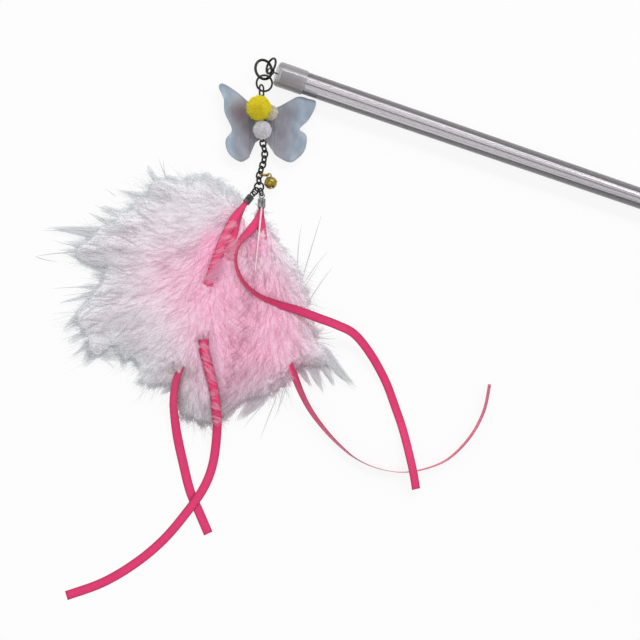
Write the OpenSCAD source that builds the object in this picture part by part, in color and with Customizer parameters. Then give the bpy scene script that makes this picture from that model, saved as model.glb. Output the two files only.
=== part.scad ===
// Cat teaser wand: a clear plastic rod whose tip carries a string of small rings, a fabric
// butterfly with pompoms, a link chain with a jingle bell, and two tassels of marabou
// feather and satin ribbon. It is drawn as it lies on a floor, with the rod along X.

/* [Rod] */
// Overall length of the wand, over both caps
wand_l = 400; // [250:5:700]
// Outer diameter of the clear tube
rod_d = 10; // [8:0.5:12]
// Bore of the clear tube
rod_bore_d = 6.8; // [5.5:0.1:7.4]
// Outer diameter of the end caps
cap_d = 11; // [10.6:0.1:14]
// Length of an end cap
cap_l = 13; // [10:0.5:30]
// Thickness of a cap's end wall
cap_wall = 1.8; // [1:0.1:3]
// Radius on a cap's end edge
cap_round = 1.6; // [0.5:0.1:1.8]
// Diameter of the cord inside the rod
core_d = 0.8; // [0.5:0.1:1.5]
// Diameter of the knots at the cord's ends
knot_d = 4.4; // [2.5:0.1:5]

/* [Tip rings] */
// Wire of the loop at the tip
loop_wire = 0.6; // [0.4:0.05:0.8]
// Outer diameter of the loop at the tip
loop_d = 3.4; // [3:0.1:3.8]
// Outer diameter of the ring next to the cap
link_ring_d = 8; // [7.6:0.1:8.4]
// Wire of the ring next to the cap
link_ring_wire = 1; // [0.8:0.05:1.05]
// Outer diameter of the large ring
large_ring_d = 9.6; // [9.4:0.1:9.8]
// Wire of the large ring
large_ring_wire = 1.2; // [0.9:0.05:1.25]
// Outer diameter of the small ring
small_ring_d = 7.8; // [7.6:0.1:8]
// Wire of the small ring
small_ring_wire = 0.9; // [0.7:0.05:0.95]

/* [Chain] */
// Wire of a chain link
link_wire = 0.8; // [0.6:0.05:0.82]
// Length of a chain link
link_l = 4.1; // [4.1:0.1:4.4]
// Width of a chain link
link_w = 3.7; // [3.5:0.1:3.8]
// Length of the oval link that hangs the butterfly
top_link_l = 6.4; // [6:0.1:7]
// Width of the oval link that hangs the butterfly
top_link_w = 4; // [3.8:0.1:4.2]
// Outer diameter of the ring that both tassels hang on
fork_ring_d = 4.8; // [4.6:0.1:5]

/* [Butterfly] */
// Reach of the left wing from its fold
left_wing_w = 14; // [10:0.5:18]
// Reach of the right wing from its fold
right_wing_w = 19; // [12:0.5:20]
// Height of a wing
wing_h = 34; // [24:1:40]
// Thickness of the doubled fabric
wing_t = 0.3; // [0.2:0.05:0.5]
// Diameter of the felt pad under the wings
felt_d = 10; // [6:0.5:14]
// Thickness of the felt pad
felt_t = 0.8; // [0.5:0.1:1.5]
// Diameter of the yellow pompom
yellow_d = 10.4; // [7:0.2:12]
// Diameter of the cream pompom
cream_d = 7.4; // [6:0.2:10]
// Diameter of the white pompom
white_d = 8.4; // [6:0.2:10]

/* [Bell] */
// Diameter of the bell
bell_d = 5.6; // [5:0.1:6.2]
// Thickness of the bell's sheet
bell_wall = 0.3; // [0.2:0.05:0.5]
// Width of the slot across the bell
bell_slot = 0.7; // [0.4:0.05:1]
// Diameter of the ball in the bell
pea_d = 2; // [1.2:0.1:2.6]
// Outer diameter of the bell's loop
bell_loop_d = 2.6; // [2.4:0.1:2.8]
// Wire of the bell's loop
bell_loop_wire = 0.6; // [0.4:0.05:0.7]

/* [Tassels] */
// Length of a folded crimp
crimp_l = 3.8; // [3.4:0.1:5.2]
// Width of a folded crimp
crimp_w = 3.2; // [3:0.1:5]
// Height of a folded crimp
crimp_h = 2.6; // [2.4:0.1:4]
// Thickness of the crimp's sheet
crimp_t = 0.35; // [0.2:0.05:0.45]
// Diameter of a feather's quill in the crimp
quill_d = 0.9; // [0.6:0.1:1]
// Length of the left plume, down the picture
left_plume_l = 118; // [90:1:140]
// Width of the left plume, across the picture
left_plume_w = 86; // [60:1:110]
// Length of the right plume, down the picture
right_plume_l = 93; // [70:1:110]
// Width of the right plume, across the picture
right_plume_w = 52; // [40:1:60]
// Depth of a plume at its crown
plume_h = 8.5; // [6:0.5:9]

/* [Ribbons] */
// Width of the satin ribbon
ribbon_w = 4; // [3:0.1:4.4]
// Thickness of the satin ribbon
ribbon_t = 0.3; // [0.2:0.05:0.4]

/* [Hidden] */

wire_fn = 20;
round_fn = 48;
ball_fn = 40;
cut = 0.5;
clear = 0.05;
seat = 0.3;
half_turn = 180;
quarter_turn = 90;

dark_metal = [0.20, 0.20, 0.19];
brass = [0.62, 0.54, 0.22];
clear_plastic = [0.80, 0.80, 0.82, 0.35];
cap_plastic = [0.72, 0.71, 0.74, 0.6];
organza = [0.58, 0.64, 0.72];
hot_pink = [0.96, 0.13, 0.50];
plume_pink = [0.96, 0.78, 0.86];

// The rod rests on its two caps.
axis_z = cap_d / 2;
rod_r = rod_d / 2;
bore_r = rod_bore_d / 2;
cap_r = cap_d / 2;
cap_pocket_r = rod_r + clear / 2;
tube_l = wand_l - 2 * cap_wall;

// The cord in the rod runs from knot to knot, and the knots bear on the caps' end walls.
knot_x = cap_wall + knot_d / 2 + clear;
neck_d = loop_wire;
cap_hole_d = neck_d + 2 * clear;
core_start = knot_x + knot_d / 2 + clear;
core_l = wand_l - 2 * core_start;

// The hanging parts lie square to the picture, turned from square to the rod.
hang_turn = 15.2;

// Places and tilts of the rings, from the centre of the tip's end on the floor.
loop_reach = 1.2;
loop_r = (loop_d - loop_wire) / 2;
link_ring_at = [-2.9, 2.84];
link_ring_tilt = 20;
large_ring_at = [-5.25, 1.92, 3.05];
large_ring_tilt = [0, 19.2];
small_ring_at = [-4.78, -3.97, 2.3];
small_ring_tilt = [14.6, -8.4];
top_link_at = [-5.86, -7.39];
top_link_roll = 45;

// Every chain link is rolled an eighth of a turn, to one side and the other in turn.
link_roll = 45;
link_gap = 0.05;
link_ring_z = (link_ring_d - link_ring_wire) / 2 * cos(link_ring_tilt) + link_ring_wire / 2 + link_gap;
pitch = link_l - 2 * link_wire - link_gap;
end_in = (link_l - link_wire) / 2;
lean = sin(link_roll);
chain_z = lean * (link_w - link_wire) / 2 + link_wire / 2 + link_gap;
top_link_z = lean * (top_link_w - link_wire) / 2 + link_wire / 2 + link_gap;
chain_x = top_link_at[0];
chain_y = top_link_at[1] - (top_link_l - link_wire) / 2 + link_wire + link_gap - end_in;
glued_n = 7;
chain_n = 9;
chain_turns = [-8, -14, -12, 1, 12, 18, 20, 13, -2];
chain_start = [chain_x, chain_y - (glued_n - 0.5) * pitch];

function down(turn) = [-sin(turn), -cos(turn)];
function roll_of(i) = i % 2 == 0 ? -link_roll : link_roll;
function pivot(i) = i == 0 ? chain_start : pivot(i - 1) + pitch * down(chain_turns[i - 1]);
function link_mid(i) = pivot(i) + pitch / 2 * down(chain_turns[i]);

// The fork ring hangs in the last link, and both branches hang in the fork ring.
fork_r = (fork_ring_d - link_wire) / 2;
fork_roll = -21;
fork_z = 1.55;
fork_mid = pivot(chain_n) + (fork_r - end_in + pitch / 2) * down(0);
left_branch_turn = 42;
right_branch_turn = -12;
left_crimp_turn = 38;
right_crimp_turn = 2;
left_link_roll = 36;
right_link_roll = 48;
left_link_offset = [-1.6, -1.92];
right_link_offset = [0.93, -2.23];
left_link_at = fork_mid + left_link_offset;
right_link_at = fork_mid + right_link_offset;
left_link_z = 1.27;
right_link_z = 1.58;

// Crimps
tab_d = 2.8;
tab_w = 1.6;
tab_t = 0.5;
tab_hole_d = 1.8;
tab_roll = -28;
crimp_round = 0.6;
flap_gap = 0.3;
left_crimp_z = crimp_h / 2 + link_gap;
right_crimp_z = right_link_z - clear;
left_tab = left_link_at + end_in * down(left_branch_turn);
right_tab = right_link_at + end_in * down(right_branch_turn);
mouth_reach = tab_d / 2 + crimp_l;
left_mouth = left_tab + mouth_reach * down(left_crimp_turn);
right_mouth = right_tab + mouth_reach * down(right_crimp_turn);

// Stack of the butterfly above the chain
felt_z = 2 * chain_z + clear;
wing_z = felt_z + felt_t;
pompom_z = wing_z + wing_t;
left_fold_x = -11.6;
right_fold_x = -0.8;
fold_span = right_fold_x - left_fold_x;
fly_x = (left_fold_x + right_fold_x) / 2;
fly_y = -21;
felt_y = -20;
yellow_at = [-8.6, -16.6];
cream_at = [-3.4, -17.9];
white_at = [-7, -25.9];
press_way = cream_at - yellow_at;
press_turn = atan2(press_way[1], press_way[0]);
press_tilt = atan2(norm(press_way), (cream_d - yellow_d) / 2);

// Outlines of the butterfly, as shares of each wing's reach and height
wing_steps = 4;
left_wing_share = [[0, 0.218], [0.464, 0.371], [0.857, 0.453], [0.979, 0.4], [0.829, 0.25],
    [0.8, 0.088], [0.564, -0.135], [0.771, -0.279], [0.657, -0.447], [0.286, -0.547], [0, -0.482]];
right_wing_share = [[0, 0.171], [0.147, 0.206], [0.358, 0.276], [0.589, 0.341], [0.832, 0.315],
    [0.989, 0.288], [0.958, 0.182], [0.811, 0.032], [0.605, -0.085], [0.737, -0.147],
    [0.774, -0.224], [0.716, -0.376], [0.516, -0.494], [0.353, -0.526], [0.121, -0.471], [0, -0.424]];
centre_share = [[-0.5, 0.212], [-0.28, 0.176], [0, 0.147], [0.28, 0.156], [0.5, 0.168],
    [0.5, -0.42], [0.26, -0.318], [0, -0.224], [-0.24, -0.288], [-0.5, -0.478]];

// Bell
bell_lip = 0.25;
bell_z = bell_d / 2 + bell_lip + link_gap;
bell_slot_reach_share = 0.28;
bell_slot_reach = bell_d * bell_slot_reach_share;
bell_hole_d = 2 * bell_slot;
bell_loop_y = bell_d / 2 + bell_loop_d / 2 - bell_loop_wire - bell_wall;
bell_link = 7;
bell_ring_d = 4.4;
bell_ring_z = bell_ring_d / 2 + 2 * link_gap;
bell_ring_offset = [2.1, 0];
bell_ring_at = link_mid(bell_link) + bell_ring_offset;
bell_turn = 14;
bell_offset = [2.66, -3.42];
bell_at = bell_ring_at + bell_offset;

// Plumes
plume_layers_share = [[0.96, 0], [1, 0.25], [0.82, 0.7], [0.5, 0.95], [0.2, 1]];
plume_steps = 2;
left_plume_at = [-15, -58.6];
right_plume_at = [-5.8, -60.3];
root_share = 0.1;
root_reach = 45;
left_heart_share = [-0.40, -0.30];
right_heart_share = [0.06, -0.55];
left_plume_share = [[-0.035, -0.008], [-0.119, 0.08], [-0.281, 0.11], [-0.491, 0.125], [-0.677, 0.046],
    [-0.84, -0.073], [-0.956, -0.208], [-0.898, -0.344], [-0.84, -0.497], [-0.677, -0.598],
    [-0.514, -0.658], [-0.351, -0.683], [-0.258, -0.785], [-0.153, -0.853], [-0.032, -0.751],
    [-0.015, -0.598], [0.005, -0.429], [0.024, -0.259], [0.042, -0.107], [0.012, -0.04]];
right_plume_share = [[-0.045, -0.045], [-0.088, -0.116], [-0.119, -0.32], [-0.152, -0.535],
    [-0.183, -0.751], [-0.21, -0.923], [-0.2, -0.998], [-0.121, -0.912], [0.129, -0.869],
    [0.475, -0.858], [0.725, -0.826], [0.629, -0.654], [0.456, -0.46], [0.302, -0.32],
    [0.148, -0.17], [0.06, -0.084], [0.03, -0.04]];
left_quill_share = 0.5;
right_quill_share = 0.33;
left_quill_grip_share = 0.5;
quill_lift_share = 0.8;
right_quill_grip_share = 0.05;
left_quill_rise = 2;
right_quill_rise = 18;
quill_drop = (crimp_h - quill_d) / 2 - crimp_t - clear;
quill_lift = quill_drop * quill_lift_share;
left_quill_turn = 48;
right_quill_turn = 9.5;

function spline_point(a, b, c, d, t) = 0.5 * (2 * b + (c - a) * t
    + (2 * a - 5 * b + 4 * c - d) * pow(t, 2) + (3 * b - a - 3 * c + d) * pow(t, 3));

// A curve through every point of an open line
function smooth(p, steps) = let (n = len(p)) concat([for (i = [0:n - 2]) for (k = [0:steps - 1])
    spline_point(p[max(i - 1, 0)], p[i], p[i + 1], p[min(i + 2, n - 1)], k / steps)], [p[n - 1]]);

// A curve through every point of a closed outline
function smooth_loop(p, steps) = let (n = len(p)) [for (i = [0:n - 1]) for (k = [0:steps - 1])
    spline_point(p[(i + n - 1) % n], p[i], p[(i + 1) % n], p[(i + 2) % n], k / steps)];

function crown_at(reach) = let (t = min(reach / root_reach, 1))
    plume_h * (root_share + (1 - root_share) * (1 - pow(1 - t, 2)));

function unit(v) = v / norm(v);

left_plume_points = smooth_loop([for (p = left_plume_share)
    left_plume_at + [p[0] * left_plume_w, p[1] * left_plume_l]], plume_steps);
right_plume_points = smooth_loop([for (p = right_plume_share)
    right_plume_at + [p[0] * right_plume_w, p[1] * right_plume_l]], plume_steps);
left_heart = left_plume_at + [left_heart_share[0] * left_plume_w, left_heart_share[1] * left_plume_l];
right_heart = right_plume_at + [right_heart_share[0] * right_plume_w, right_heart_share[1] * right_plume_l];

// Ribbons: the section's corners, how far each end is gathered in its crimp, and the routes
ribbon_section_share = [[-1, -0.5], [-0.85, -1], [0.85, -1], [1, -0.5], [1, 0.5], [0.85, 1], [-0.85, 1], [-1, 0.5]];
gather_share = [0.5, 0.6, 0.9];
function gather(i) = i < len(gather_share) ? gather_share[i] : 1;

left_route_a = [[-12.14, -56.1, 2.1, 0], [-13.85, -58.4, 2.12, 0], [-18, -63.5, 5, 0], [-21.5, -69, 8, 0],
    [-24.5, -75, 10.4, 0], [-27.5, -82.5, 11.4, 0], [-30, -90, 11.6, 0], [-33, -99, 11.8, 10],
    [-36, -108, 12.2, 25], [-39, -119.5, 12.4, 45], [-42, -127.5, 10.8, 60], [-44.6, -135.5, 8, 45],
    [-45.3, -144, 5.4, 40], [-44.5, -152, 3.2, 30], [-43, -161, 1.8, 15], [-40.5, -172, 0.9, 0],
    [-37.5, -184, 0.3, 0], [-33.5, -193.5, 0.3, 0], [-29.5, -203, 0.3, 0]];
left_route_b = [[-12.14, -56.1, 1.6, 0], [-13.95, -58.5, 1.62, 0], [-17.2, -64.5, 3.5, 0], [-19.5, -71, 7.2, 0],
    [-22, -79, 9.8, 0], [-24.5, -88, 10.8, 0], [-27.5, -98, 11, 0], [-30.8, -109, 11, 0],
    [-33, -119, 10.6, 0], [-31.2, -128, 9.6, 0], [-28.8, -137, 9, 0], [-27, -147, 7, 0],
    [-26.2, -158, 3.6, 0], [-27.5, -172, 1, 0], [-31.5, -182.5, 1, 0], [-39, -193, 1, 0],
    [-49, -204.5, 0.5, 0], [-61, -214, 0.3, 0], [-75, -221.5, 0.3, 0], [-90, -226, 0.3, 0]];
right_route_a = [[-5.9, -57.6, 1.1, 0], [-6, -60, 1.2, 0], [-8.2, -65.4, 2.5, 0], [-12, -70, 5.6, 30],
    [-17, -75, 9.6, 60], [-19.4, -80.5, 11.8, 75], [-19.2, -86.5, 12, 75], [-16, -93, 12, 68],
    [-10, -98.3, 12, 60], [-2, -101.8, 11.8, 42], [8, -104.8, 11.4, 22], [18, -108.3, 10.8, 10],
    [27, -111.4, 9, 0], [36, -115.6, 6, 0], [44.6, -125, 3.5, 0], [52, -137, 1.8, 0],
    [57, -149, 0.9, 0], [61, -161, 1.6, 0], [64.2, -177, 4.5, 0], [66, -187, 4.5, 0]];
right_route_b = [[-5.9, -57.6, 0.8, 0], [-6, -60, 0.78, 0], [-6, -67, 2.1, 0], [-6, -75, 5.5, 0],
    [-6, -84, 8.6, 0], [-6, -95, 9.8, 0], [-5, -105, 9.8, 0], [-2.2, -115, 9.8, 0],
    [2.2, -124.5, 10, 15], [7, -133.5, 9.4, 45], [11.4, -142, 6, 60], [16.4, -150, 3.2, 65],
    [23, -158.6, 2.3, 72], [30, -166, 2.2, 78], [38, -172.4, 2.2, 85], [48, -177, 2.2, 85],
    [59.5, -179.3, 2.2, 85], [71, -178.3, 2.2, 85], [83, -173.9, 2.2, 85],
    [94, -163.8, 2.2, 85], [101, -152, 2.2, 85], [103.8, -139.5, 2.2, 85]];

// The origin is under the middle of the box around everything but the ribbons.
function from_tip(p) = [p[0] * cos(hang_turn) - p[1] * sin(hang_turn), p[0] * sin(hang_turn) + p[1] * cos(hang_turn)];
plume_box = [for (p = concat(left_plume_points, right_plume_points)) from_tip(p)];
low_x = min([for (p = plume_box) p[0]]);
low_y = min([for (p = plume_box) p[1]]);
high_y = link_ring_at[1] + link_ring_d / 2;
tip_x = -(low_x + wand_l) / 2;
tip_y = -(low_y + high_y) / 2;

module at_tip() {
    translate([tip_x, tip_y, 0]) children();
}

module hang() {
    at_tip() rotate([0, 0, hang_turn]) children();
}

module ring(outer_d, wire_d) {
    rotate_extrude($fn = round_fn) translate([(outer_d - wire_d) / 2, 0]) circle(d = wire_d, $fn = wire_fn);
}

// Closed oval link with its long axis along Y
module oval_link(l, w, wire_d) {
    bend_r = (w - wire_d) / 2;
    straight = l - w;
    for (side = [-1, 1]) {
        translate([side * bend_r, straight / 2, 0]) rotate([quarter_turn, 0, 0])
            cylinder(h = straight, d = wire_d, $fn = wire_fn);
        translate([0, side * straight / 2, 0]) rotate([0, 0, side > 0 ? 0 : half_turn])
            rotate_extrude(angle = half_turn, $fn = round_fn) translate([bend_r, 0])
                circle(d = wire_d, $fn = wire_fn);
    }
}

// A chain link laid at a place in the plan, turned in the plan and rolled about its length
module laid_link(at, turn, roll, z = chain_z) {
    translate([at[0], at[1], z]) rotate([0, 0, -turn]) rotate([0, roll, 0])
        oval_link(link_l, link_w, link_wire);
}

// A cylinder along X whose far edge is rounded, for the end caps
module round_nose(r, l, edge_r) {
    rotate([0, quarter_turn, 0]) rotate_extrude($fn = round_fn) {
        square([r - edge_r, l]);
        translate([0, edge_r]) square([r, l - edge_r]);
        translate([r - edge_r, edge_r]) circle(r = edge_r, $fn = wire_fn * 2);
    }
}

// An end cap with its closed end at the origin, opening along X
module end_cap(hole_d) {
    color(cap_plastic) difference() {
        round_nose(cap_r, cap_l, cap_round);
        translate([cap_wall, 0, 0]) rotate([0, quarter_turn, 0])
            cylinder(r = cap_pocket_r, h = cap_l, $fn = round_fn);
        if (hole_d > 0)
            translate([-cut, 0, 0]) rotate([0, quarter_turn, 0])
                cylinder(d = hole_d, h = cap_wall + 2 * cut, $fn = round_fn);
    }
}

module tip_cap() {
    at_tip() translate([0, 0, axis_z]) end_cap(cap_hole_d);
}

module butt_cap() {
    at_tip() translate([wand_l, 0, axis_z]) mirror([1, 0, 0]) end_cap(0);
}

module rod_tube() {
    color(clear_plastic) at_tip() translate([cap_wall, 0, axis_z]) rotate([0, quarter_turn, 0])
        difference() {
            cylinder(r = rod_r, h = tube_l, $fn = round_fn);
            translate([0, 0, -cut]) cylinder(r = bore_r, h = tube_l + 2 * cut, $fn = round_fn);
        }
}

// A knot drawn tight into a ball
module knot() {
    sphere(d = knot_d, $fn = ball_fn);
}

module core_cord() {
    color("dimgray") at_tip() translate([core_start, 0, axis_z]) rotate([0, quarter_turn, 0])
        cylinder(d = core_d, h = core_l, $fn = wire_fn);
}

module butt_knot() {
    color("gray") at_tip() translate([wand_l - knot_x, 0, axis_z]) knot();
}

module tip_knot() {
    color("gray") at_tip() translate([knot_x, 0, axis_z]) knot();
}

// The loop stands out of the cap's hole on a short neck
module tip_loop() {
    color(dark_metal) at_tip() translate([0, 0, axis_z]) {
        translate([-loop_reach - loop_r, 0, 0]) ring(loop_d, loop_wire);
        translate([-loop_reach, 0, 0]) rotate([0, quarter_turn, 0])
            cylinder(d = neck_d, h = loop_reach + cap_wall + clear, $fn = wire_fn);
    }
}

module link_ring() {
    color(dark_metal) at_tip() translate([link_ring_at[0], link_ring_at[1], link_ring_z])
        rotate([0, quarter_turn + link_ring_tilt, 0]) ring(link_ring_d, link_ring_wire);
}

module large_ring() {
    color(dark_metal) hang() translate(large_ring_at)
        rotate([large_ring_tilt[0], large_ring_tilt[1], 0]) ring(large_ring_d, large_ring_wire);
}

module small_ring() {
    color(dark_metal) hang() translate(small_ring_at)
        rotate([small_ring_tilt[0], small_ring_tilt[1], 0]) ring(small_ring_d, small_ring_wire);
}

module top_link() {
    color(dark_metal) hang() translate([top_link_at[0], top_link_at[1], top_link_z])
        rotate([0, top_link_roll, 0]) oval_link(top_link_l, top_link_w, link_wire);
}

// The links that the felt pad is glued to
module glued_links() {
    color(dark_metal) hang() for (i = [0:glued_n - 1])
        laid_link([chain_x, chain_y - i * pitch], 0, roll_of(i));
}

module felt_pad() {
    color("lightgray") hang() translate([fly_x, felt_y, felt_z])
        cylinder(d = felt_d, h = felt_t, $fn = round_fn);
}

module sheet(points) {
    color(organza) linear_extrude(height = wing_t) polygon(points);
}

module wing_centre() {
    hang() translate([fly_x, fly_y, wing_z])
        sheet([for (p = centre_share) [p[0] * (fold_span - seat), p[1] * wing_h]]);
}

module left_wing() {
    hang() translate([left_fold_x - seat / 2, fly_y, wing_z])
        sheet(smooth([for (p = left_wing_share) [-p[0] * left_wing_w, p[1] * wing_h]], wing_steps));
}

module right_wing() {
    hang() translate([right_fold_x + seat / 2, fly_y, wing_z])
        sheet(smooth([for (p = right_wing_share) [p[0] * right_wing_w, p[1] * wing_h]], wing_steps));
}

module yellow_pompom() {
    color("gold") hang() translate([yellow_at[0], yellow_at[1], pompom_z + yellow_d / 2])
        sphere(d = yellow_d, $fn = ball_fn);
}

// The cream pompom is flat where it is pressed against the yellow one
module cream_pompom() {
    color("cornsilk") hang() difference() {
        translate([cream_at[0], cream_at[1], pompom_z + cream_d / 2]) sphere(d = cream_d, $fn = ball_fn);
        translate([yellow_at[0], yellow_at[1], pompom_z + yellow_d / 2]) rotate([0, press_tilt, press_turn])
            cylinder(d = 2 * cream_d, h = yellow_d / 2 + clear, $fn = ball_fn);
    }
}

module white_pompom() {
    color("white") hang()
        translate([white_at[0], white_at[1], pompom_z + white_d / 2]) sphere(d = white_d, $fn = ball_fn);
}

module chain_link(i) {
    color(dark_metal) hang() laid_link(link_mid(i), chain_turns[i], roll_of(i + glued_n));
}

module fork_ring() {
    color(dark_metal) hang() translate([fork_mid[0], fork_mid[1], fork_z])
        rotate([0, fork_roll, 0]) ring(fork_ring_d, link_wire);
}

module left_link() {
    color(dark_metal) hang() laid_link(left_link_at, left_branch_turn, left_link_roll, left_link_z);
}

module right_link() {
    color(dark_metal) hang() laid_link(right_link_at, right_branch_turn, right_link_roll, right_link_z);
}

// Half of the bell's shell, with its open side at the origin and its crown along Y
module bell_half() {
    rotate([-quarter_turn, 0, 0]) difference() {
        union() {
            sphere(d = bell_d, $fn = ball_fn);
            cylinder(d = bell_d + 2 * bell_lip, h = bell_lip, $fn = ball_fn);
        }
        sphere(d = bell_d - 2 * bell_wall, $fn = ball_fn);
        translate([0, 0, -bell_d]) cylinder(d = 2 * bell_d, h = bell_d, $fn = ball_fn);
    }
}

module at_bell() {
    hang() translate([bell_at[0], bell_at[1], bell_z]) rotate([0, 0, bell_turn]) children();
}

module bell_upper() {
    color(brass) at_bell() translate([0, clear / 2, 0]) bell_half();
}

// The lower half has two crossed slots that end in round holes
module bell_lower() {
    color(brass) at_bell() difference() {
        translate([0, -clear / 2, 0]) mirror([0, 1, 0]) bell_half();
        for (turn = [0, quarter_turn]) rotate([0, turn, 0]) {
            translate([-bell_slot_reach, -bell_d, -bell_slot / 2])
                cube([2 * bell_slot_reach, bell_d, bell_slot]);
            for (side = [-1, 1])
                translate([side * bell_slot_reach, 0, 0]) rotate([quarter_turn, 0, 0])
                    cylinder(d = bell_hole_d, h = bell_d, $fn = wire_fn);
        }
    }
}

module bell_loop() {
    color(brass) at_bell() translate([0, bell_loop_y, 0]) ring(bell_loop_d, bell_loop_wire);
}

module bell_ball() {
    color("silver") at_bell() translate([0, 0, pea_d / 2 - bell_d / 2 + bell_wall + clear])
        sphere(d = pea_d, $fn = ball_fn);
}

module bell_ring() {
    color(brass) hang() translate([bell_ring_at[0], bell_ring_at[1], bell_ring_z])
        rotate([quarter_turn, 0, 0]) ring(bell_ring_d, bell_loop_wire);
}

module soft_box(w, h, r) {
    square([w - 2 * r, h], center = true);
    square([w, h - 2 * r], center = true);
    for (x = [-1, 1], y = [-1, 1])
        translate([x * (w / 2 - r), y * (h / 2 - r)]) circle(r = r, $fn = wire_fn);
}

// A folded crimp along -Y from the hole of its twisted tab, its two flaps meeting on top
module crimp() {
    color("silver") {
        translate([0, -tab_d / 2, 0]) rotate([quarter_turn, 0, 0]) linear_extrude(height = crimp_l)
            difference() {
                soft_box(crimp_w, crimp_h, crimp_round);
                soft_box(crimp_w - 2 * crimp_t, crimp_h - 2 * crimp_t, crimp_round - crimp_t / 2);
                translate([-flap_gap / 2, 0]) square([flap_gap, crimp_h]);
            }
        translate([-crimp_w / 2 + crimp_round, -tab_d / 2 - crimp_t, -crimp_h / 2 + crimp_t / 2])
            cube([crimp_w - 2 * crimp_round, crimp_t, crimp_h - crimp_t]);
        rotate([0, tab_roll, 0]) difference() {
            union() {
                translate([-tab_w / 2, -tab_d / 2 - crimp_t / 2, -tab_t / 2])
                    cube([tab_w, tab_d / 2, tab_t]);
                translate([0, 0, -tab_t / 2]) cylinder(d = tab_d, h = tab_t, $fn = round_fn);
            }
            translate([0, 0, -tab_t / 2 - cut]) cylinder(d = tab_hole_d, h = tab_t + 2 * cut, $fn = round_fn);
        }
    }
}

module left_crimp() {
    hang() translate([left_tab[0], left_tab[1], left_crimp_z]) rotate([0, 0, -left_crimp_turn]) crimp();
}

module right_crimp() {
    hang() translate([right_tab[0], right_tab[1], right_crimp_z]) rotate([0, 0, -right_crimp_turn]) crimp();
}

// A tapered quill that starts in the crimp and runs into the plume
module quill(mouth, z, turn, rise, grip, l) {
    color("whitesmoke") hang() translate([mouth[0], mouth[1], z]) rotate([0, 0, -turn])
        translate([0, grip, 0]) rotate([quarter_turn - rise, 0, 0])
            cylinder(d1 = quill_d, d2 = quill_d / 2, h = l, $fn = wire_fn);
}

module left_quill() {
    quill(left_mouth, left_crimp_z - quill_drop, left_quill_turn, left_quill_rise,
        crimp_l * left_quill_grip_share, left_plume_l * left_quill_share);
}

module right_quill() {
    quill(right_mouth, right_crimp_z + quill_lift, right_quill_turn, right_quill_rise,
        crimp_l * right_quill_grip_share, right_plume_l * right_quill_share);
}

// A plume is a low crowned solid: closed layers of one outline, drawn in towards its heart
module plume(points, root, heart) {
    n = len(points);
    m = len(plume_layers_share);
    layers = [for (l = plume_layers_share) for (p = points)
        let (q = heart + l[0] * (p - heart)) [q[0], q[1], l[1] * crown_at(norm(q - root))]];
    ends = [[heart[0], heart[1], 0], [heart[0], heart[1], plume_h]];
    walls = [for (k = [0:m - 2]) for (i = [0:n - 1]) let (j = (i + 1) % n)
        each [[k * n + i, (k + 1) * n + i, k * n + j], [k * n + j, (k + 1) * n + i, (k + 1) * n + j]]];
    floor_faces = [for (i = [0:n - 1]) [m * n, i, (i + 1) % n]];
    crown_faces = [for (i = [0:n - 1]) [m * n + 1, (m - 1) * n + (i + 1) % n, (m - 1) * n + i]];
    color(plume_pink) polyhedron(points = concat(layers, ends), faces = concat(walls, floor_faces, crown_faces));
}

module left_plume() {
    hang() plume(left_plume_points, left_mouth, left_heart);
}

module right_plume() {
    hang() plume(right_plume_points, right_mouth, right_heart);
}

// A flat ribbon swept through its route; each point of a route is x, y, height and roll
module ribbon(route, start) {
    n = len(route);
    points = [for (i = [0:n - 1]) let (
            here = route[i], before = route[max(i - 1, 0)], after = route[min(i + 1, n - 1)],
            along = unit([after[0] - before[0], after[1] - before[1], after[2] - before[2]]),
            flat = unit(cross([0, 0, 1], along)), up = cross(along, flat),
            across = cos(here[3]) * flat + sin(here[3]) * up, face = cross(along, across),
            w = ribbon_w / 2 * gather(i))
        for (s = ribbon_section_share)
            [here[0], here[1], here[2]] + start + s[0] * w * across + s[1] * ribbon_t / 2 * face];
    k = len(ribbon_section_share);
    // The upper and the lower walls are split along the same diagonal, so they stay apart where it twists
    walls = [for (i = [0:n - 2]) for (a = [0:k - 1]) let (b = (a + 1) % k)
        each (a < k / 2
            ? [[i * k + a, (i + 1) * k + a, i * k + b], [i * k + b, (i + 1) * k + a, (i + 1) * k + b]]
            : [[i * k + a, (i + 1) * k + a, (i + 1) * k + b], [i * k + a, (i + 1) * k + b, i * k + b]])];
    first = [for (a = [1:k - 2]) [0, a, a + 1]];
    last = [for (a = [1:k - 2]) [(n - 1) * k, (n - 1) * k + a + 1, (n - 1) * k + a]];
    color(hot_pink) hang() polyhedron(points = points, faces = concat(walls, first, last));
}

module left_ribbon_a() {
    ribbon(left_route_a, [0, 0, 0]);
}

module left_ribbon_b() {
    ribbon(left_route_b, [0, 0, 0]);
}

module right_ribbon_a() {
    ribbon(right_route_a, [0, 0, 0]);
}

module right_ribbon_b() {
    ribbon(right_route_b, [0, 0, 0]);
}

rod_tube();
tip_cap();
butt_cap();
core_cord();
butt_knot();
tip_knot();
tip_loop();
link_ring();
large_ring();
small_ring();
top_link();
glued_links();
felt_pad();
wing_centre();
left_wing();
right_wing();
yellow_pompom();
cream_pompom();
white_pompom();
chain_link(0);  // chain_link_1
chain_link(1);  // chain_link_2
chain_link(2);  // chain_link_3
chain_link(3);  // chain_link_4
chain_link(4);  // chain_link_5
chain_link(5);  // chain_link_6
chain_link(6);  // chain_link_7
chain_link(7);  // chain_link_8
chain_link(8);  // chain_link_9
fork_ring();
left_link();
right_link();
bell_ring();
bell_upper();
bell_lower();
bell_loop();
bell_ball();
left_crimp();
left_quill();
left_plume();
left_ribbon_a();
left_ribbon_b();
right_crimp();
right_quill();
right_plume();
right_ribbon_a();
right_ribbon_b();
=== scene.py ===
import math
import bmesh
import bpy
import numpy as np
from mathutils import Matrix, Vector


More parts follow.
